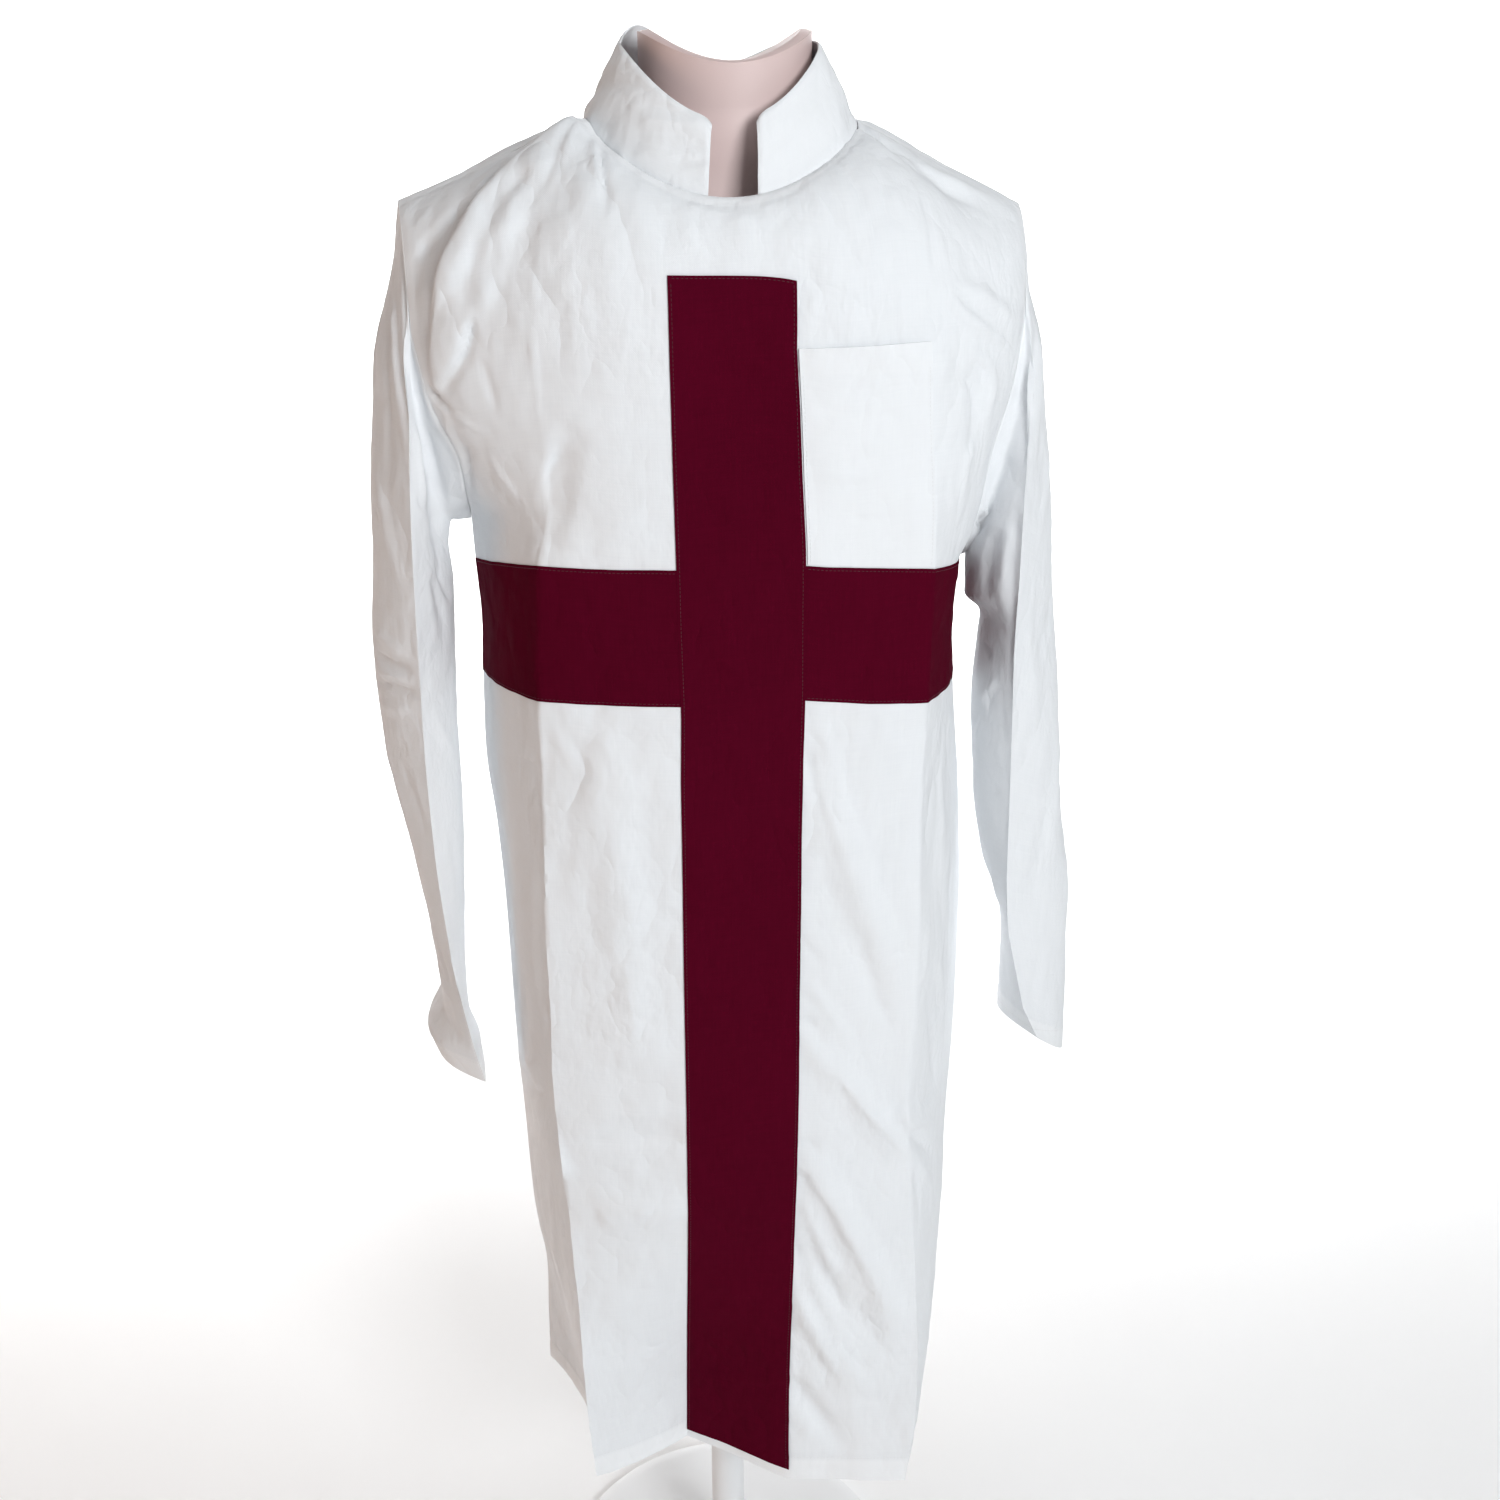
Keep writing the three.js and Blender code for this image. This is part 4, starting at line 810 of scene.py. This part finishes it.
def thread_material(name, colour):
    n = Nodes(name, rough=0.6)
    inputs = {"Vector": n.object, "Scale": 900.0}
    twist = n.add("ShaderNodeTexWave", inputs, bands_direction="DIAGONAL").outputs["Fac"]
    dark = tuple(c * 0.82 for c in colour[:3]) + (1,)
    n.link(n.mix(twist, dark, colour), "Base Color")
    n.link(n.bump(twist, 0.4, 0.0001), "Normal")
    return n.mat


def mottled(name, rough, scale, dark, light, detail=2.0):
    """Nodes of a material whose colour drifts between two tones, and the noise that drives it."""
    n = Nodes(name, rough)
    cloud = n.noise(n.object, scale, detail)
    n.link(n.mix(cloud, (*dark, 1), (*light, 1)), "Base Color")
    return n, cloud


def form_material():
    n, cloud = mottled("form_skin", 0.5, 9.0, (0.70, 0.545, 0.525), (0.76, 0.60, 0.58), 4.0)
    dents = n.bump(n.noise(n.object, 22.0), 0.2, 0.002)
    n.link(n.bump(n.noise(n.object, 420.0), 0.12, 0.0003, dents), "Normal")
    n.link(n.remap(cloud, 0.3, 0.7, 0.42, 0.56), "Roughness")
    return n.mat


def painted_metal():
    n, cloud = mottled("stand_paint", 0.4, 14.0, (0.79, 0.80, 0.81), (0.83, 0.84, 0.85), 3.0)
    n.link(n.bump(n.noise(n.object, 600.0), 0.06, 0.0002), "Normal")
    n.link(n.remap(cloud, 0.3, 0.7, 0.36, 0.46), "Roughness")
    return n.mat


WHITE = cotton("white_cotton", (0.85, 0.868, 0.885, 1), (0.79, 0.812, 0.835, 1),
               (0.87, 0.885, 0.90, 1), 0.1)
MAROON = cotton("maroon_cotton", (0.090, 0.0016, 0.0135, 1), (0.066, 0.0012, 0.0100, 1),
                (0.08, 0.0014, 0.012, 1), 0.02)
WHITE_THREAD = thread_material("white_thread", (0.86, 0.87, 0.88, 1))
MAROON_THREAD = thread_material("maroon_thread", (0.07, 0.004, 0.012, 1))
SKIN = form_material()
STAND = painted_metal()


# ---- Front and back
front = Sheet("front", 4.4, 3.0, 11)
back = Sheet("back", 4.2, 3.6, 23)
for name, node, sheet, cut in (("tunic_front", "front", front, (0.64, 1.23)),
                               ("tunic_back", "back", back, (0.565, 1.22))):
    inside = sheet.outer - sheet.normal * cloth_wall(sheet.up)
    panel_obj = shell(name, sheet.outer, inside, sheet.uv, sheet.layers)
    as_cloth(panel_obj, WHITE, node)


# ---- Pieces sewn on the front
def patch(name, us, rs, lift, wall, edge, layers=0.0, top_drop=None):
    """A piece laid on the front between some of its stations and rows."""
    u, r = np.meshgrid(us, rs)
    if top_drop is not None:
        r = r - top_drop(u) * np.clip(r - rs[-1] + 1, 0, 1)
    p, n, uv = front.at(u, r)
    n = unit(n)
    rise = lift + edge(u, r, p)
    outer = p + n * (rise + wall)[..., None]
    inner = p + n * (rise * 0.4)[..., None]
    return shell(name, outer, inner, uv, layers), outer


def span(values, low, high):
    inside = values[(values > low + 1e-6) & (values < high - 1e-6)]
    return np.concatenate([[low], inside, [high]])


# Stations of the front: side 0, crease 1, edges of the upright 2 and 3, crease 4, side 5.
# EDGE is a share of a cell: the pocket keeps it free at its sides, and the arms reach twice as
# far under the upright. The lifts say how many millimetres each piece stands off the front.
STRIP_TOP_ROW = TOP_LOW + 2
EDGE = 0.012
UPRIGHT_LIFT, ARM_LIFT, POCKET_LIFT = 0.5, 0.12, 0.35
POCKET_LOW_Z, POCKET_HEM, POCKET_WIDE, POCKET_CLOTH = 1139.4, 19.0, 94.0, 0.8
POCKET_FULL_Z, POCKET_STITCH = 1139, 4   # the bag is full above this z; stitching from its sides


def puckered(seed, size=0.08):
    """Small swellings between the stitches along the edges of a strip."""
    rng = np.random.default_rng(seed)
    shift = rng.uniform(0, 6, 3)

    def edge(u, r, p):
        along = p[..., 2] + 0.7 * p[..., 0]
        return size * sum(np.sin(along * 2 * math.pi / w + s) for w, s in zip((11, 15, 21), shift)) / 3
    return edge


def corner_drop(u):
    """The upright ends in a nearly straight edge, lower at its corners than the curved row."""
    return (0.16 + (0.3 - 0.16) * (u - 2)) * (2 * (u - 2) - 1) ** 2


def pocket_edge(u, r, p):
    """The mouth stands a little open and the bag is slightly full."""
    across = np.clip(u - 3, 0, 1)
    low = row_at(POCKET_FULL_Z)
    up = np.clip((r - low) / (TOP_LOW - low), 0, 1)
    full = np.sin(math.pi * across) ** 0.7
    below = CHEST_Z - p[..., 2]
    band = 0.3 * within(POCKET_HEM, below) - 0.35 * ridge(below - POCKET_HEM, 1.6)
    from_side = np.minimum(across, 1 - across) * POCKET_WIDE
    band -= 0.35 * ridge(from_side - POCKET_STITCH, 1.8)
    return full * (0.6 * np.sin(math.pi * up) + 2.0 * up ** 8) + band


def arm(name, low, high, seed):
    rows = span(front.rs, row_at(ARM_LOW_Z), row_at(ARM_HIGH_Z))
    return patch(name, span(front.us, low, high), rows, ARM_LIFT, STRIP, puckered(seed))


upright = patch("cross_strip_upright", span(front.us, 2, 3), span(front.rs, 1, STRIP_TOP_ROW),
                UPRIGHT_LIFT, STRIP, puckered(3), top_drop=corner_drop)
arm_right = arm("cross_strip_right", 0.02, 2 + EDGE * 2, 4)
arm_left = arm("cross_strip_left", 3 - EDGE * 2, 4.98, 5)
pocket_rows = span(front.rs, row_at(POCKET_LOW_Z), TOP_LOW)
pocket_z = np.interp(pocket_rows, range(TOP_LOW + 1), LOW_ROWS)
pocket_layers = 0.35 + 0.2 * within(POCKET_HEM, CHEST_Z - pocket_z)[:, None]
pocket = patch("chest_pocket", span(front.us, 3 + EDGE, 4 - EDGE), pocket_rows, POCKET_LIFT,
               POCKET_CLOTH, pocket_edge, pocket_layers)
for (obj, grid), mat, slot, node, cut in (
        (upright, MAROON, "maroon_cotton", "cross_upright", (0.106, 1.07)),
        (arm_right, MAROON, "maroon_cotton", "cross_arm_right", (0.24, 0.108)),
        (arm_left, MAROON, "maroon_cotton", "cross_arm_left", (0.24, 0.108)),
        (pocket, WHITE, "white_cotton", "pocket", (0.1, 0.165))):
    as_cloth(obj, mat, node)


# ---- Sleeves
SLEEVE_SEAM = 0.2            # air between the sleeve and the edge of the armhole
RING_STEP, RING_POINTS = 3.2, 120
QUARTER_MM = 64.0            # cloth in one quarter of a sleeve
CROWN, CAP_DIP = 2, 7        # how the sleeve head swells, and dips at its top
CAP_ALLOWANCE, CAP_STITCH = 7.0, 4


def sleeve_ring(tab, z, q):
    """Points of one ring: q counts quarters from the outer side over the front crease."""
    c = lambda key: column(tab, key, z)
    fr, inn, bk, out = (np.array([c(k + "x"), c(k + "y"), z + c(k + "z")]) for k in "fibo")
    centre = (fr + bk) / 2
    which = np.floor(q).astype(int) % 4
    part = q - np.floor(q)
    t = np.where(which % 2 == 0, part, 1 - part)[:, None]
    side = np.where(((which == 0) | (which == 3))[:, None], out, inn)
    tip = np.where((which < 2)[:, None], fr, bk)
    return centre + (tip - centre) * t + (side - centre) * np.cos(QUARTER * t)


def armhole_loop(side, n):
    """Armhole edge from the shoulder tip down the front, under the arm and up the back."""
    low = row_at(ARMPIT_Z if side < 0 else ARM_HIGH_Z)
    half = n // 2
    rs_down = LAST_ROW - (LAST_ROW - low) * np.arange(half + 1) / half
    rs_up = rs_down[::-1][1:-1]
    fu, bu = (0.0, 3.0) if side < 0 else (5.0, 0.0)
    down = panel("front", [fu], rs_down)[:, 0]
    up = panel("back", [bu], rs_up)[:, 0]
    return np.concatenate([down, up])


def catmull(p0, p1, p2, p3, t):
    return 0.5 * (2 * p1 + (p2 - p0) * t + (2 * p0 - 5 * p1 + 4 * p2 - p3) * t * t
                  + (3 * p1 - p0 - 3 * p2 + p3) * t ** 3)


def sleeve_rings(tab, side):
    """Rings of a sleeve from its cuff to the armhole, and the quarters of their points."""
    n = RING_POINTS
    q = 4 * np.arange(n) / n
    zs = tab["z"]
    heights = np.arange(zs[0], zs[-1] + 0.1, RING_STEP)
    heights[-1] = zs[-1]
    # The cuff is straight between its own rings; above it the sleeve is smooth.
    low = np.stack([sleeve_ring(tab, z, q) for z in zs[:3]])
    rings = []
    for z in heights:
        if z < zs[2]:
            k = int(z >= zs[1])
            rings.append(low[k] + (low[k + 1] - low[k]) * (z - zs[k]) / (zs[k + 1] - zs[k]))
        else:
            rings.append(sleeve_ring(tab, z, q))
    # The sleeve head runs from the last ring over a swollen middle ring to the armhole.
    loop = armhole_loop(side, n) + np.array([side * SLEEVE_SEAM, 0, 0])
    top, below = rings[-1], rings[-11]
    cap = np.maximum(0, np.cos(2 * math.pi * np.arange(n) / n))
    mid = loop + (top - loop) * 0.45
    mid[:, 0] += side * (CROWN - CAP_DIP * cap)
    beyond = loop + (loop - mid) * 0.6
    rings += [catmull(below, top, mid, loop, t) for t in np.arange(1, 15) / 14]
    rings += [catmull(top, mid, loop, beyond, t) for t in np.arange(1, 13) / 12]
    grid = np.stack(rings)
    if side > 0:
        grid = grid[:, np.concatenate([[0], np.arange(n - 1, 0, -1)])]
        q = np.concatenate([[0], q[:0:-1]])
    return grid, q


def sleeve(name, tab, folds, side, seed):
    grid, q = sleeve_rings(tab, side)
    n = RING_POINTS
    normal = grid_normals(grid, closed=True)
    up = lengths(grid, 0)
    z = grid[..., 2]
    a = np.broadcast_to(q * QUARTER_MM, z.shape)
    scaled = {key: v * QUARTER_MM if key[0] == "q" else v for key, v in folds.items()}
    rise = sum(creases(scaled, a + turn * 4 * QUARTER_MM, z) for turn in (-1, 0, 1))
    across = np.sin(q * QUARTER)[None] * 60 + 0 * z
    rise += waves(across, z, seed, count=22, low=60, high=180, size=0.6)
    tilted = z + np.cos(q * QUARTER) * 40
    rise += waves(across, tilted, seed + 1, count=30, low=14, high=40, size=0.13)
    from_top = up[-1:] - up
    rise *= smooth(from_top / 14) * smooth(0.2 + up / 30)
    rise += turned_in(up - HEM_DEPTH, 0.3, 1.8)
    # Fullness eased into the armhole seam.
    rng = np.random.default_rng(seed + 5)
    ease = sum(np.sin(np.arange(n) * 2 * math.pi * k / n + rng.uniform(0, 6)) for k in (17, 23, 29)) / 3
    rise += 0.45 * ease * np.exp(-(from_top - 6).clip(0) / 11) * smooth(from_top / 6)
    rise += 0.25 * ridge(from_top - CAP_STITCH, 2.6)
    outer = grid + normal * rise[..., None]
    normal = grid_normals(outer, closed=True)
    layers = np.maximum(within(HEM_DEPTH, up), 0.4 * within(CAP_ALLOWANCE, from_top, 2))
    obj = shell(name, outer, outer - normal * cloth_wall(up), np.stack([a, up], -1), layers, closed=True)
    return obj, outer, normal, up


cuff_lines = []
for name, node, tab, folds, side, seed in (
        ("tunic_sleeve_right", "sleeve_right", SLEEVE_RIGHT, SLEEVE_RIGHT_CREASES, -1, 41),
        ("tunic_sleeve_left", "sleeve_left", SLEEVE_LEFT, SLEEVE_LEFT_CREASES, 1, 57)):
    obj, grid, normal, up = sleeve(name, tab, folds, side, seed)
    as_cloth(obj, WHITE, node)
    stitched = int(np.argmin(np.abs(up[:, 0] - HEM_DEPTH)))
    cuff_lines.append(tuple(np.concatenate([v[stitched], v[stitched, :1]]) for v in (grid, normal)))


# ---- Collar
# Upper edge: y and z at the front and the back; at the two sides x, y and z.
COLLAR_FRONT, COLLAR_BACK = (-75, 1428), (68, 1449)
COLLAR_SIDES, COLLAR_SIDE_Y, COLLAR_SIDE_Z = (-67, 69), -2, 1470
COLLAR_SWELL = (18, 6)       # how far it rises between each side and the back
COLLAR_BOW, COLLAR_LIFT = 1.5, 0.15     # hollow of its height, and air over the neck seam
CORNER_LONG, CORNER_DROP = 9, 3.6
NOTCH_TOP_ANGLE = 0.265
COLLAR_STITCH = 3            # the edge stitching stands this far from the collar's edges


def collar_top(angle):
    across, deep = np.sin(angle), np.cos(angle)
    left, front_half = across < 0, deep > 0
    y, z = (np.where(front_half, COLLAR_FRONT[i], COLLAR_BACK[i]) for i in (0, 1))
    swell = np.where(front_half, 0, np.where(left, *COLLAR_SWELL) * np.sin(2 * angle) ** 2)
    return xyz(np.where(left, *COLLAR_SIDES) * np.abs(across),
               COLLAR_SIDE_Y + (y - COLLAR_SIDE_Y) * np.abs(deep),
               z + (COLLAR_SIDE_Z - z) * across * across + swell)


def collar():
    start = math.asin(NOTCH_RIGHT / NECK_R[0])
    end = math.asin(NOTCH_LEFT / -NECK_L[0]) + 2 * math.pi
    share = np.linspace(0, 1, 301)
    angles = start + (end - start) * share
    high_angles = angles + smooth(1 - share / 0.06) * (NOTCH_TOP_ANGLE - start)
    s = np.concatenate([[0, 0.02], np.linspace(0.05, 0.95, 31), [0.975, 0.99, 1]])[:, None]
    low, high = neckline(angles)[None], collar_top(high_angles)[None]
    p = low + (high - low) * s[..., None]
    inward = xyz(-np.sin(angles), np.cos(angles), 0)[None]
    p = p - inward * (COLLAR_BOW * np.sin(math.pi * s))[..., None]
    # Rounded corners at the notch.
    mm = lengths(p, 1)
    from_end = np.minimum(mm, mm[:, -1:] - mm)
    corner = np.clip(1 - from_end / CORNER_LONG, 0, 1) ** 2 * np.clip((s - 0.75) / 0.25, 0, 1)
    p[..., 2] -= CORNER_DROP * corner
    p[..., 2] += COLLAR_LIFT
    normal = grid_normals(p)
    up = lengths(p, 0)
    rise = waves(mm, up, 71, count=24, low=26, high=90, size=0.7)
    rise += waves(mm, up, 72, count=60, low=9, high=26, size=0.16)
    # Upright drag lines at the two sides of the neck.
    for middle, size in ((0.27, 0.9), (0.31, -0.7), (0.36, 0.6), (0.66, 0.8), (0.7, -0.8), (0.75, 0.7)):
        rise += size * ridge(share - middle, 0.012)[None] * smooth(1.2 - up / up[-1:])
    edge_top = up[-1:] - up
    rise *= smooth(up / 10) * smooth((edge_top + 6) / 12)
    rise += 0.35 * ridge(edge_top - COLLAR_STITCH, 2.4) + 0.35 * ridge(from_end - COLLAR_STITCH, 2.4)
    rise -= 0.5 * ridge(up, 1.6)
    rise -= 0.8 * ridge(edge_top, 1.3) + 0.6 * ridge(from_end, 1.3)
    outer = p + normal * rise[..., None]
    wall = COLLAR_WALL - 0.7 * ridge(edge_top, 1.1)
    inner = outer - grid_normals(outer) * wall[..., None]
    return shell("tunic_collar", outer, inner, np.stack([mm, up], -1), 0.5), outer


collar_obj, collar_grid = collar()
as_cloth(collar_obj, WHITE, "collar")


# ---- Stitches
PITCH, STITCH, THREAD_HALF = 3.0, 2.3, 0.22
STITCH_IN, STRIP_WIDE = 2.2, 90
# Rings of a stitch: share of its length, share of its thickness, height in half thicknesses.
STITCH_RINGS = ((0.0, 0.35, -0.4), (0.22, 1.0, 1.0), (0.78, 1.0, 1.0), (1.0, 0.35, -0.4))
ROUND = ((1, 0), (0, 1), (-1, 0), (0, -1))


def walk(points, normals, gap_seed):
    """Even steps along a line: both ends and the normal of each stitch."""
    step = np.linalg.norm(np.diff(points, axis=0), axis=1)
    run = np.concatenate([[0], np.cumsum(step)])
    mids = np.arange(PITCH / 2, run[-1], PITCH)
    mids = mids + np.random.default_rng(gap_seed).uniform(-0.12, 0.12, len(mids))

    def at(values, d):
        return np.stack([np.interp(d, run, values[:, i]) for i in range(3)], -1)
    return at(points, mids - STITCH / 2), at(points, mids + STITCH / 2), unit(at(normals, mids))


def stitches(name, lines, mat):
    """Small rounded threads of four rings each, dipping into the cloth at both ends."""
    quads = [[4 * ring + i, 4 * ring + (i + 1) % 4, 4 * ring + 4 + (i + 1) % 4, 4 * ring + 4 + i]
             for ring in range(3) for i in range(4)]
    quads = np.array(quads + [[3, 2, 1, 0], [12, 13, 14, 15]])
    verts = []
    for seed, (points, normals) in enumerate(lines):
        a, b, nor = walk(points, normals, seed)
        wide = unit(np.cross(nor, unit(b - a)))
        block = []
        for share, size, high in STITCH_RINGS:
            mid = a + (b - a) * share + nor * THREAD_HALF * high
            block += [mid + (wide * x + nor * y * 0.8) * THREAD_HALF * size for x, y in ROUND]
        verts.append(np.stack(block, axis=1).reshape(-1, 3))
    verts = np.concatenate(verts)
    first = 16 * np.arange(len(verts) // 16)[:, None, None]
    place(new_object(name, verts, [(first + quads).reshape(-1, 4)], sharp=80), mat)


def line_on(sheet, us, rs, lift=0.0):
    """Points and normals of a line over a sheet."""
    p, n, _ = sheet.at(us, rs)
    n = unit(n)
    return p + n * lift, n


def steps(low, high, n=160):
    return np.linspace(low, high, n)


on_strip, on_arm, on_pocket = UPRIGHT_LIFT + STRIP, ARM_LIFT + STRIP, 0.95
inset = STITCH_IN / STRIP_WIDE
strip_rows = steps(1.04, STRIP_TOP_ROW - 0.34, 500)
strip_us = steps(2 + inset, 3 - inset, 60)
maroon_lines = [line_on(front, u, strip_rows, on_strip) for u in (2 + inset, 3 - inset)]
maroon_lines.append(line_on(front, strip_us, STRIP_TOP_ROW - 0.08 - corner_drop(strip_us), on_strip))
for low, high in ((0.04, 1.99), (3.01, 4.96)):
    for stitch_z in (ARM_LOW_Z + STITCH_IN, ARM_HIGH_Z - STITCH_IN):
        maroon_lines.append(line_on(front, steps(low, high), row_at(stitch_z), on_arm))
stitches("stitches_cross", maroon_lines, MAROON_THREAD)

hem_row = float(np.interp(HEM_DEPTH, front.up[:, len(front.us) // 2], front.rs))
pocket_side = steps(row_at(POCKET_LOW_Z + 1.6), TOP_LOW - 0.05, 120)
white_lines = [line_on(front, steps(0.02, 4.98, 400), hem_row),
               line_on(back, steps(0.02, 2.98, 400), hem_row),
               line_on(front, 3 + EDGE + 0.02, pocket_side, on_pocket),
               line_on(front, 4 - EDGE - 0.02, pocket_side, on_pocket)]
stitches("stitches_white", white_lines + cuff_lines, WHITE_THREAD)


# ---- Dress form and stand
FORM_STEP = 6.0
FORM_Y = -4
LEAN_LOW, LEAN_HIGH = 1150, 1412         # from here to there the form's axis moves to the neck
ROUND_LOW, ROUND_HIGH = 1290, 1390       # from here to there its section turns round
SCOOP_LOW = 1440                         # above this the rim begins to follow its scoop


def full_ring(n):
    return 2 * math.pi * np.arange(n) / n


def dress_form(around=96):
    a = full_ring(around)
    rings = []
    for z in np.unique(np.concatenate([FORM["z"], np.arange(FORM["z"][1], NECK_TOP_Z + 1, FORM_STEP)])):
        share = np.clip((z - LEAN_LOW) / (LEAN_HIGH - LEAN_LOW), 0, 1)
        power = 0.86 + 0.14 * np.clip((z - ROUND_LOW) / (ROUND_HIGH - ROUND_LOW), 0, 1)
        cx, cy = (np.sign(v) * np.abs(v) ** power for v in (np.cos(a), np.sin(a)))
        rise = smooth((z - SCOOP_LOW) / (NECK_TOP_Z - SCOOP_LOW))
        lift = rise * (NECK_SCOOP * cx * cx - NECK_TILT * 0.5 * (1 + cy))
        w, d = column(FORM, "halfW", z), column(FORM, "halfD", z)
        y = FORM_Y + (NECK_Y - FORM_Y) * share + d * cy
        rings.append(xyz(NECK_X * share ** 2 + w * cx, y, z + lift))
    # Rounded rim, then the scooped top drawn in to its middle.
    top = rings[-1]
    middle = top.mean(axis=0)
    for pull, up in ((0.02, -0.4), (0.05, 0.6), (0.12, 1.2)):
        ring = top + (middle - top) * pull
        ring[:, 2] = top[:, 2] + up
        rings.append(ring)
    rim = rings[-1]
    for pull in (0.3, 0.5, 0.7, 0.85):
        ring = rim + (middle - rim) * pull
        x = (ring[:, 0] - NECK_X) / FORM["halfW"][-1]
        y = (ring[:, 1] - NECK_Y) / FORM["halfD"][-1]
        ring[:, 2] = NECK_TOP_Z + 1 + NECK_SCOOP * x * x - NECK_TILT * 0.5 * (1 + y)
        rings.append(ring)
    peak = [middle[0], middle[1], NECK_TOP_Z + 1 - NECK_TILT / 2]
    return capped("form_body", np.stack(rings), [0, FORM_Y, FORM["z"][0]], peak, 40)


def turned(name, profile, around=96):
    """Body turned about the upright axis from pairs of radius and height."""
    a = full_ring(around)
    grid = np.stack([xyz(r * np.cos(a), r * np.sin(a), z) for r, z in profile])
    return capped(name, grid, [0, 0, profile[0][1]], [0, 0, profile[-1][1]], 35)


POLE = [(15, 70), (16, 71), (16, 640), (17.6, 641), (17.6, 664), (16, 665), (16, 689.4), (15, 689.6)]
FOOT = [(160, 0), (164, 0.6), (165, 2), (165, 6), (163.5, 8.6), (157, 11.6), (150, 12.4), (60, 15.4),
        (38, 17), (31, 20), (27, 26), (26, 32), (26, 62), (25, 67), (22, 69.6)]
place(dress_form(), SKIN, "dress_form")
place(turned("stand_tube", POLE), STAND, "stand_pole")
place(turned("stand_foot", FOOT), STAND, "stand_base")

# A small dark pin in the front of the neck.
pin = turned("neck_pin", [(0.5, -1.2), (1.2, -0.4), (1.3, 0.3), (0.9, 0.9), (0.4, 1.1)], 20)
pin.location = (0.014, -0.0542, 1.397)
pin.rotation_euler = (QUARTER, 0, 0)
bpy.context.view_layer.update()
pin_nodes, _ = mottled("pin_dark", 0.4, 900.0, (0.02, 0.018, 0.02), (0.05, 0.04, 0.04))
pin.data.materials.append(pin_nodes.mat)
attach(pin, "root")


# ---- Studio
FLOOR_HALF, CURVE_Y, CURVE_RADIUS, WALL_TOP = 6000, 1800, 1200, 7000


def backdrop():
    """Pale floor that curves up into a wall behind."""
    turns = np.linspace(0.1, QUARTER, 14)
    ys = [-FLOOR_HALF, CURVE_Y, *(CURVE_Y + CURVE_RADIUS * np.sin(turns)), CURVE_Y + CURVE_RADIUS]
    zs = [0, 0, *(CURVE_RADIUS * (1 - np.cos(turns))), WALL_TOP]
    xs = np.array([-FLOOR_HALF, FLOOR_HALF])
    grid = np.stack([xyz(xs, y, z) for y, z in zip(ys, zs)])
    ids = np.arange(len(ys) * 2).reshape(len(ys), 2)
    quads = np.stack([ids[:-1, 0], ids[:-1, 1], ids[1:, 1], ids[1:, 0]], -1)
    obj = new_object("studio_floor", grid.reshape(-1, 3), [quads])
    paper, _ = mottled("studio_paper", 0.9, 3.0, (0.96, 0.96, 0.96), (0.98, 0.98, 0.98))
    obj.data.materials.append(paper.mat)


def area_light(name, spot, target, size, power, colour, spread=180):
    data = bpy.data.lights.new(name, "AREA")
    data.shape = "RECTANGLE"
    data.size, data.size_y = size
    data.energy = power
    data.color = colour
    data.spread = math.radians(spread)
    obj = bpy.data.objects.new(name, data)
    bpy.context.scene.collection.objects.link(obj)
    obj.location = spot
    obj.rotation_euler = (Vector(target) - Vector(spot)).to_track_quat("-Z", "Y").to_euler()
    obj.visible_camera = False


backdrop()
area_light("key", (1.3, -3.2, 2.4), (0, 0, 0.95), (1.3, 1.2), 93, (0.965, 0.985, 1.0))
area_light("fill_warm", (-2.6, -0.4, 1.0), (0, 0, 0.9), (1.6, 2.2), 12, (1.0, 0.58, 0.34))
area_light("overhead", (0.3, -0.8, 3.4), (0, -0.1, 0.4), (2.6, 2.2), 13, (1.0, 1.0, 1.0))
area_light("backdrop_light", (0, 1.5, 3.6), (0, 3.0, 0.8), (5.0, 1.0), 135, (1.0, 1.0, 1.0), 100)
world = bpy.data.worlds.new("studio")
world.use_nodes = True
world_colour, world_strength = world.node_tree.nodes["Background"].inputs[:2]
world_colour.default_value = (0.95, 0.97, 1.0, 1)
world_strength.default_value = 0.13
bpy.context.scene.world = world
bpy.context.scene.view_settings.view_transform = "Standard"

# The camera stands close, looks down and is turned a little to its right.
CAMERA_PLACE, CAMERA_DOWN, CAMERA_TURN = (-0.1267, -1.3061, 1.560), 25.4, -6.5
camera_data = bpy.data.cameras.new("camera")
camera_data.sensor_width, camera_data.lens = 36, 43.2
camera = bpy.data.objects.new("camera", camera_data)
bpy.context.scene.collection.objects.link(camera)
camera.location = CAMERA_PLACE
camera.rotation_euler = (math.radians(90 - CAMERA_DOWN), 0, math.radians(CAMERA_TURN))
bpy.context.scene.camera = camera
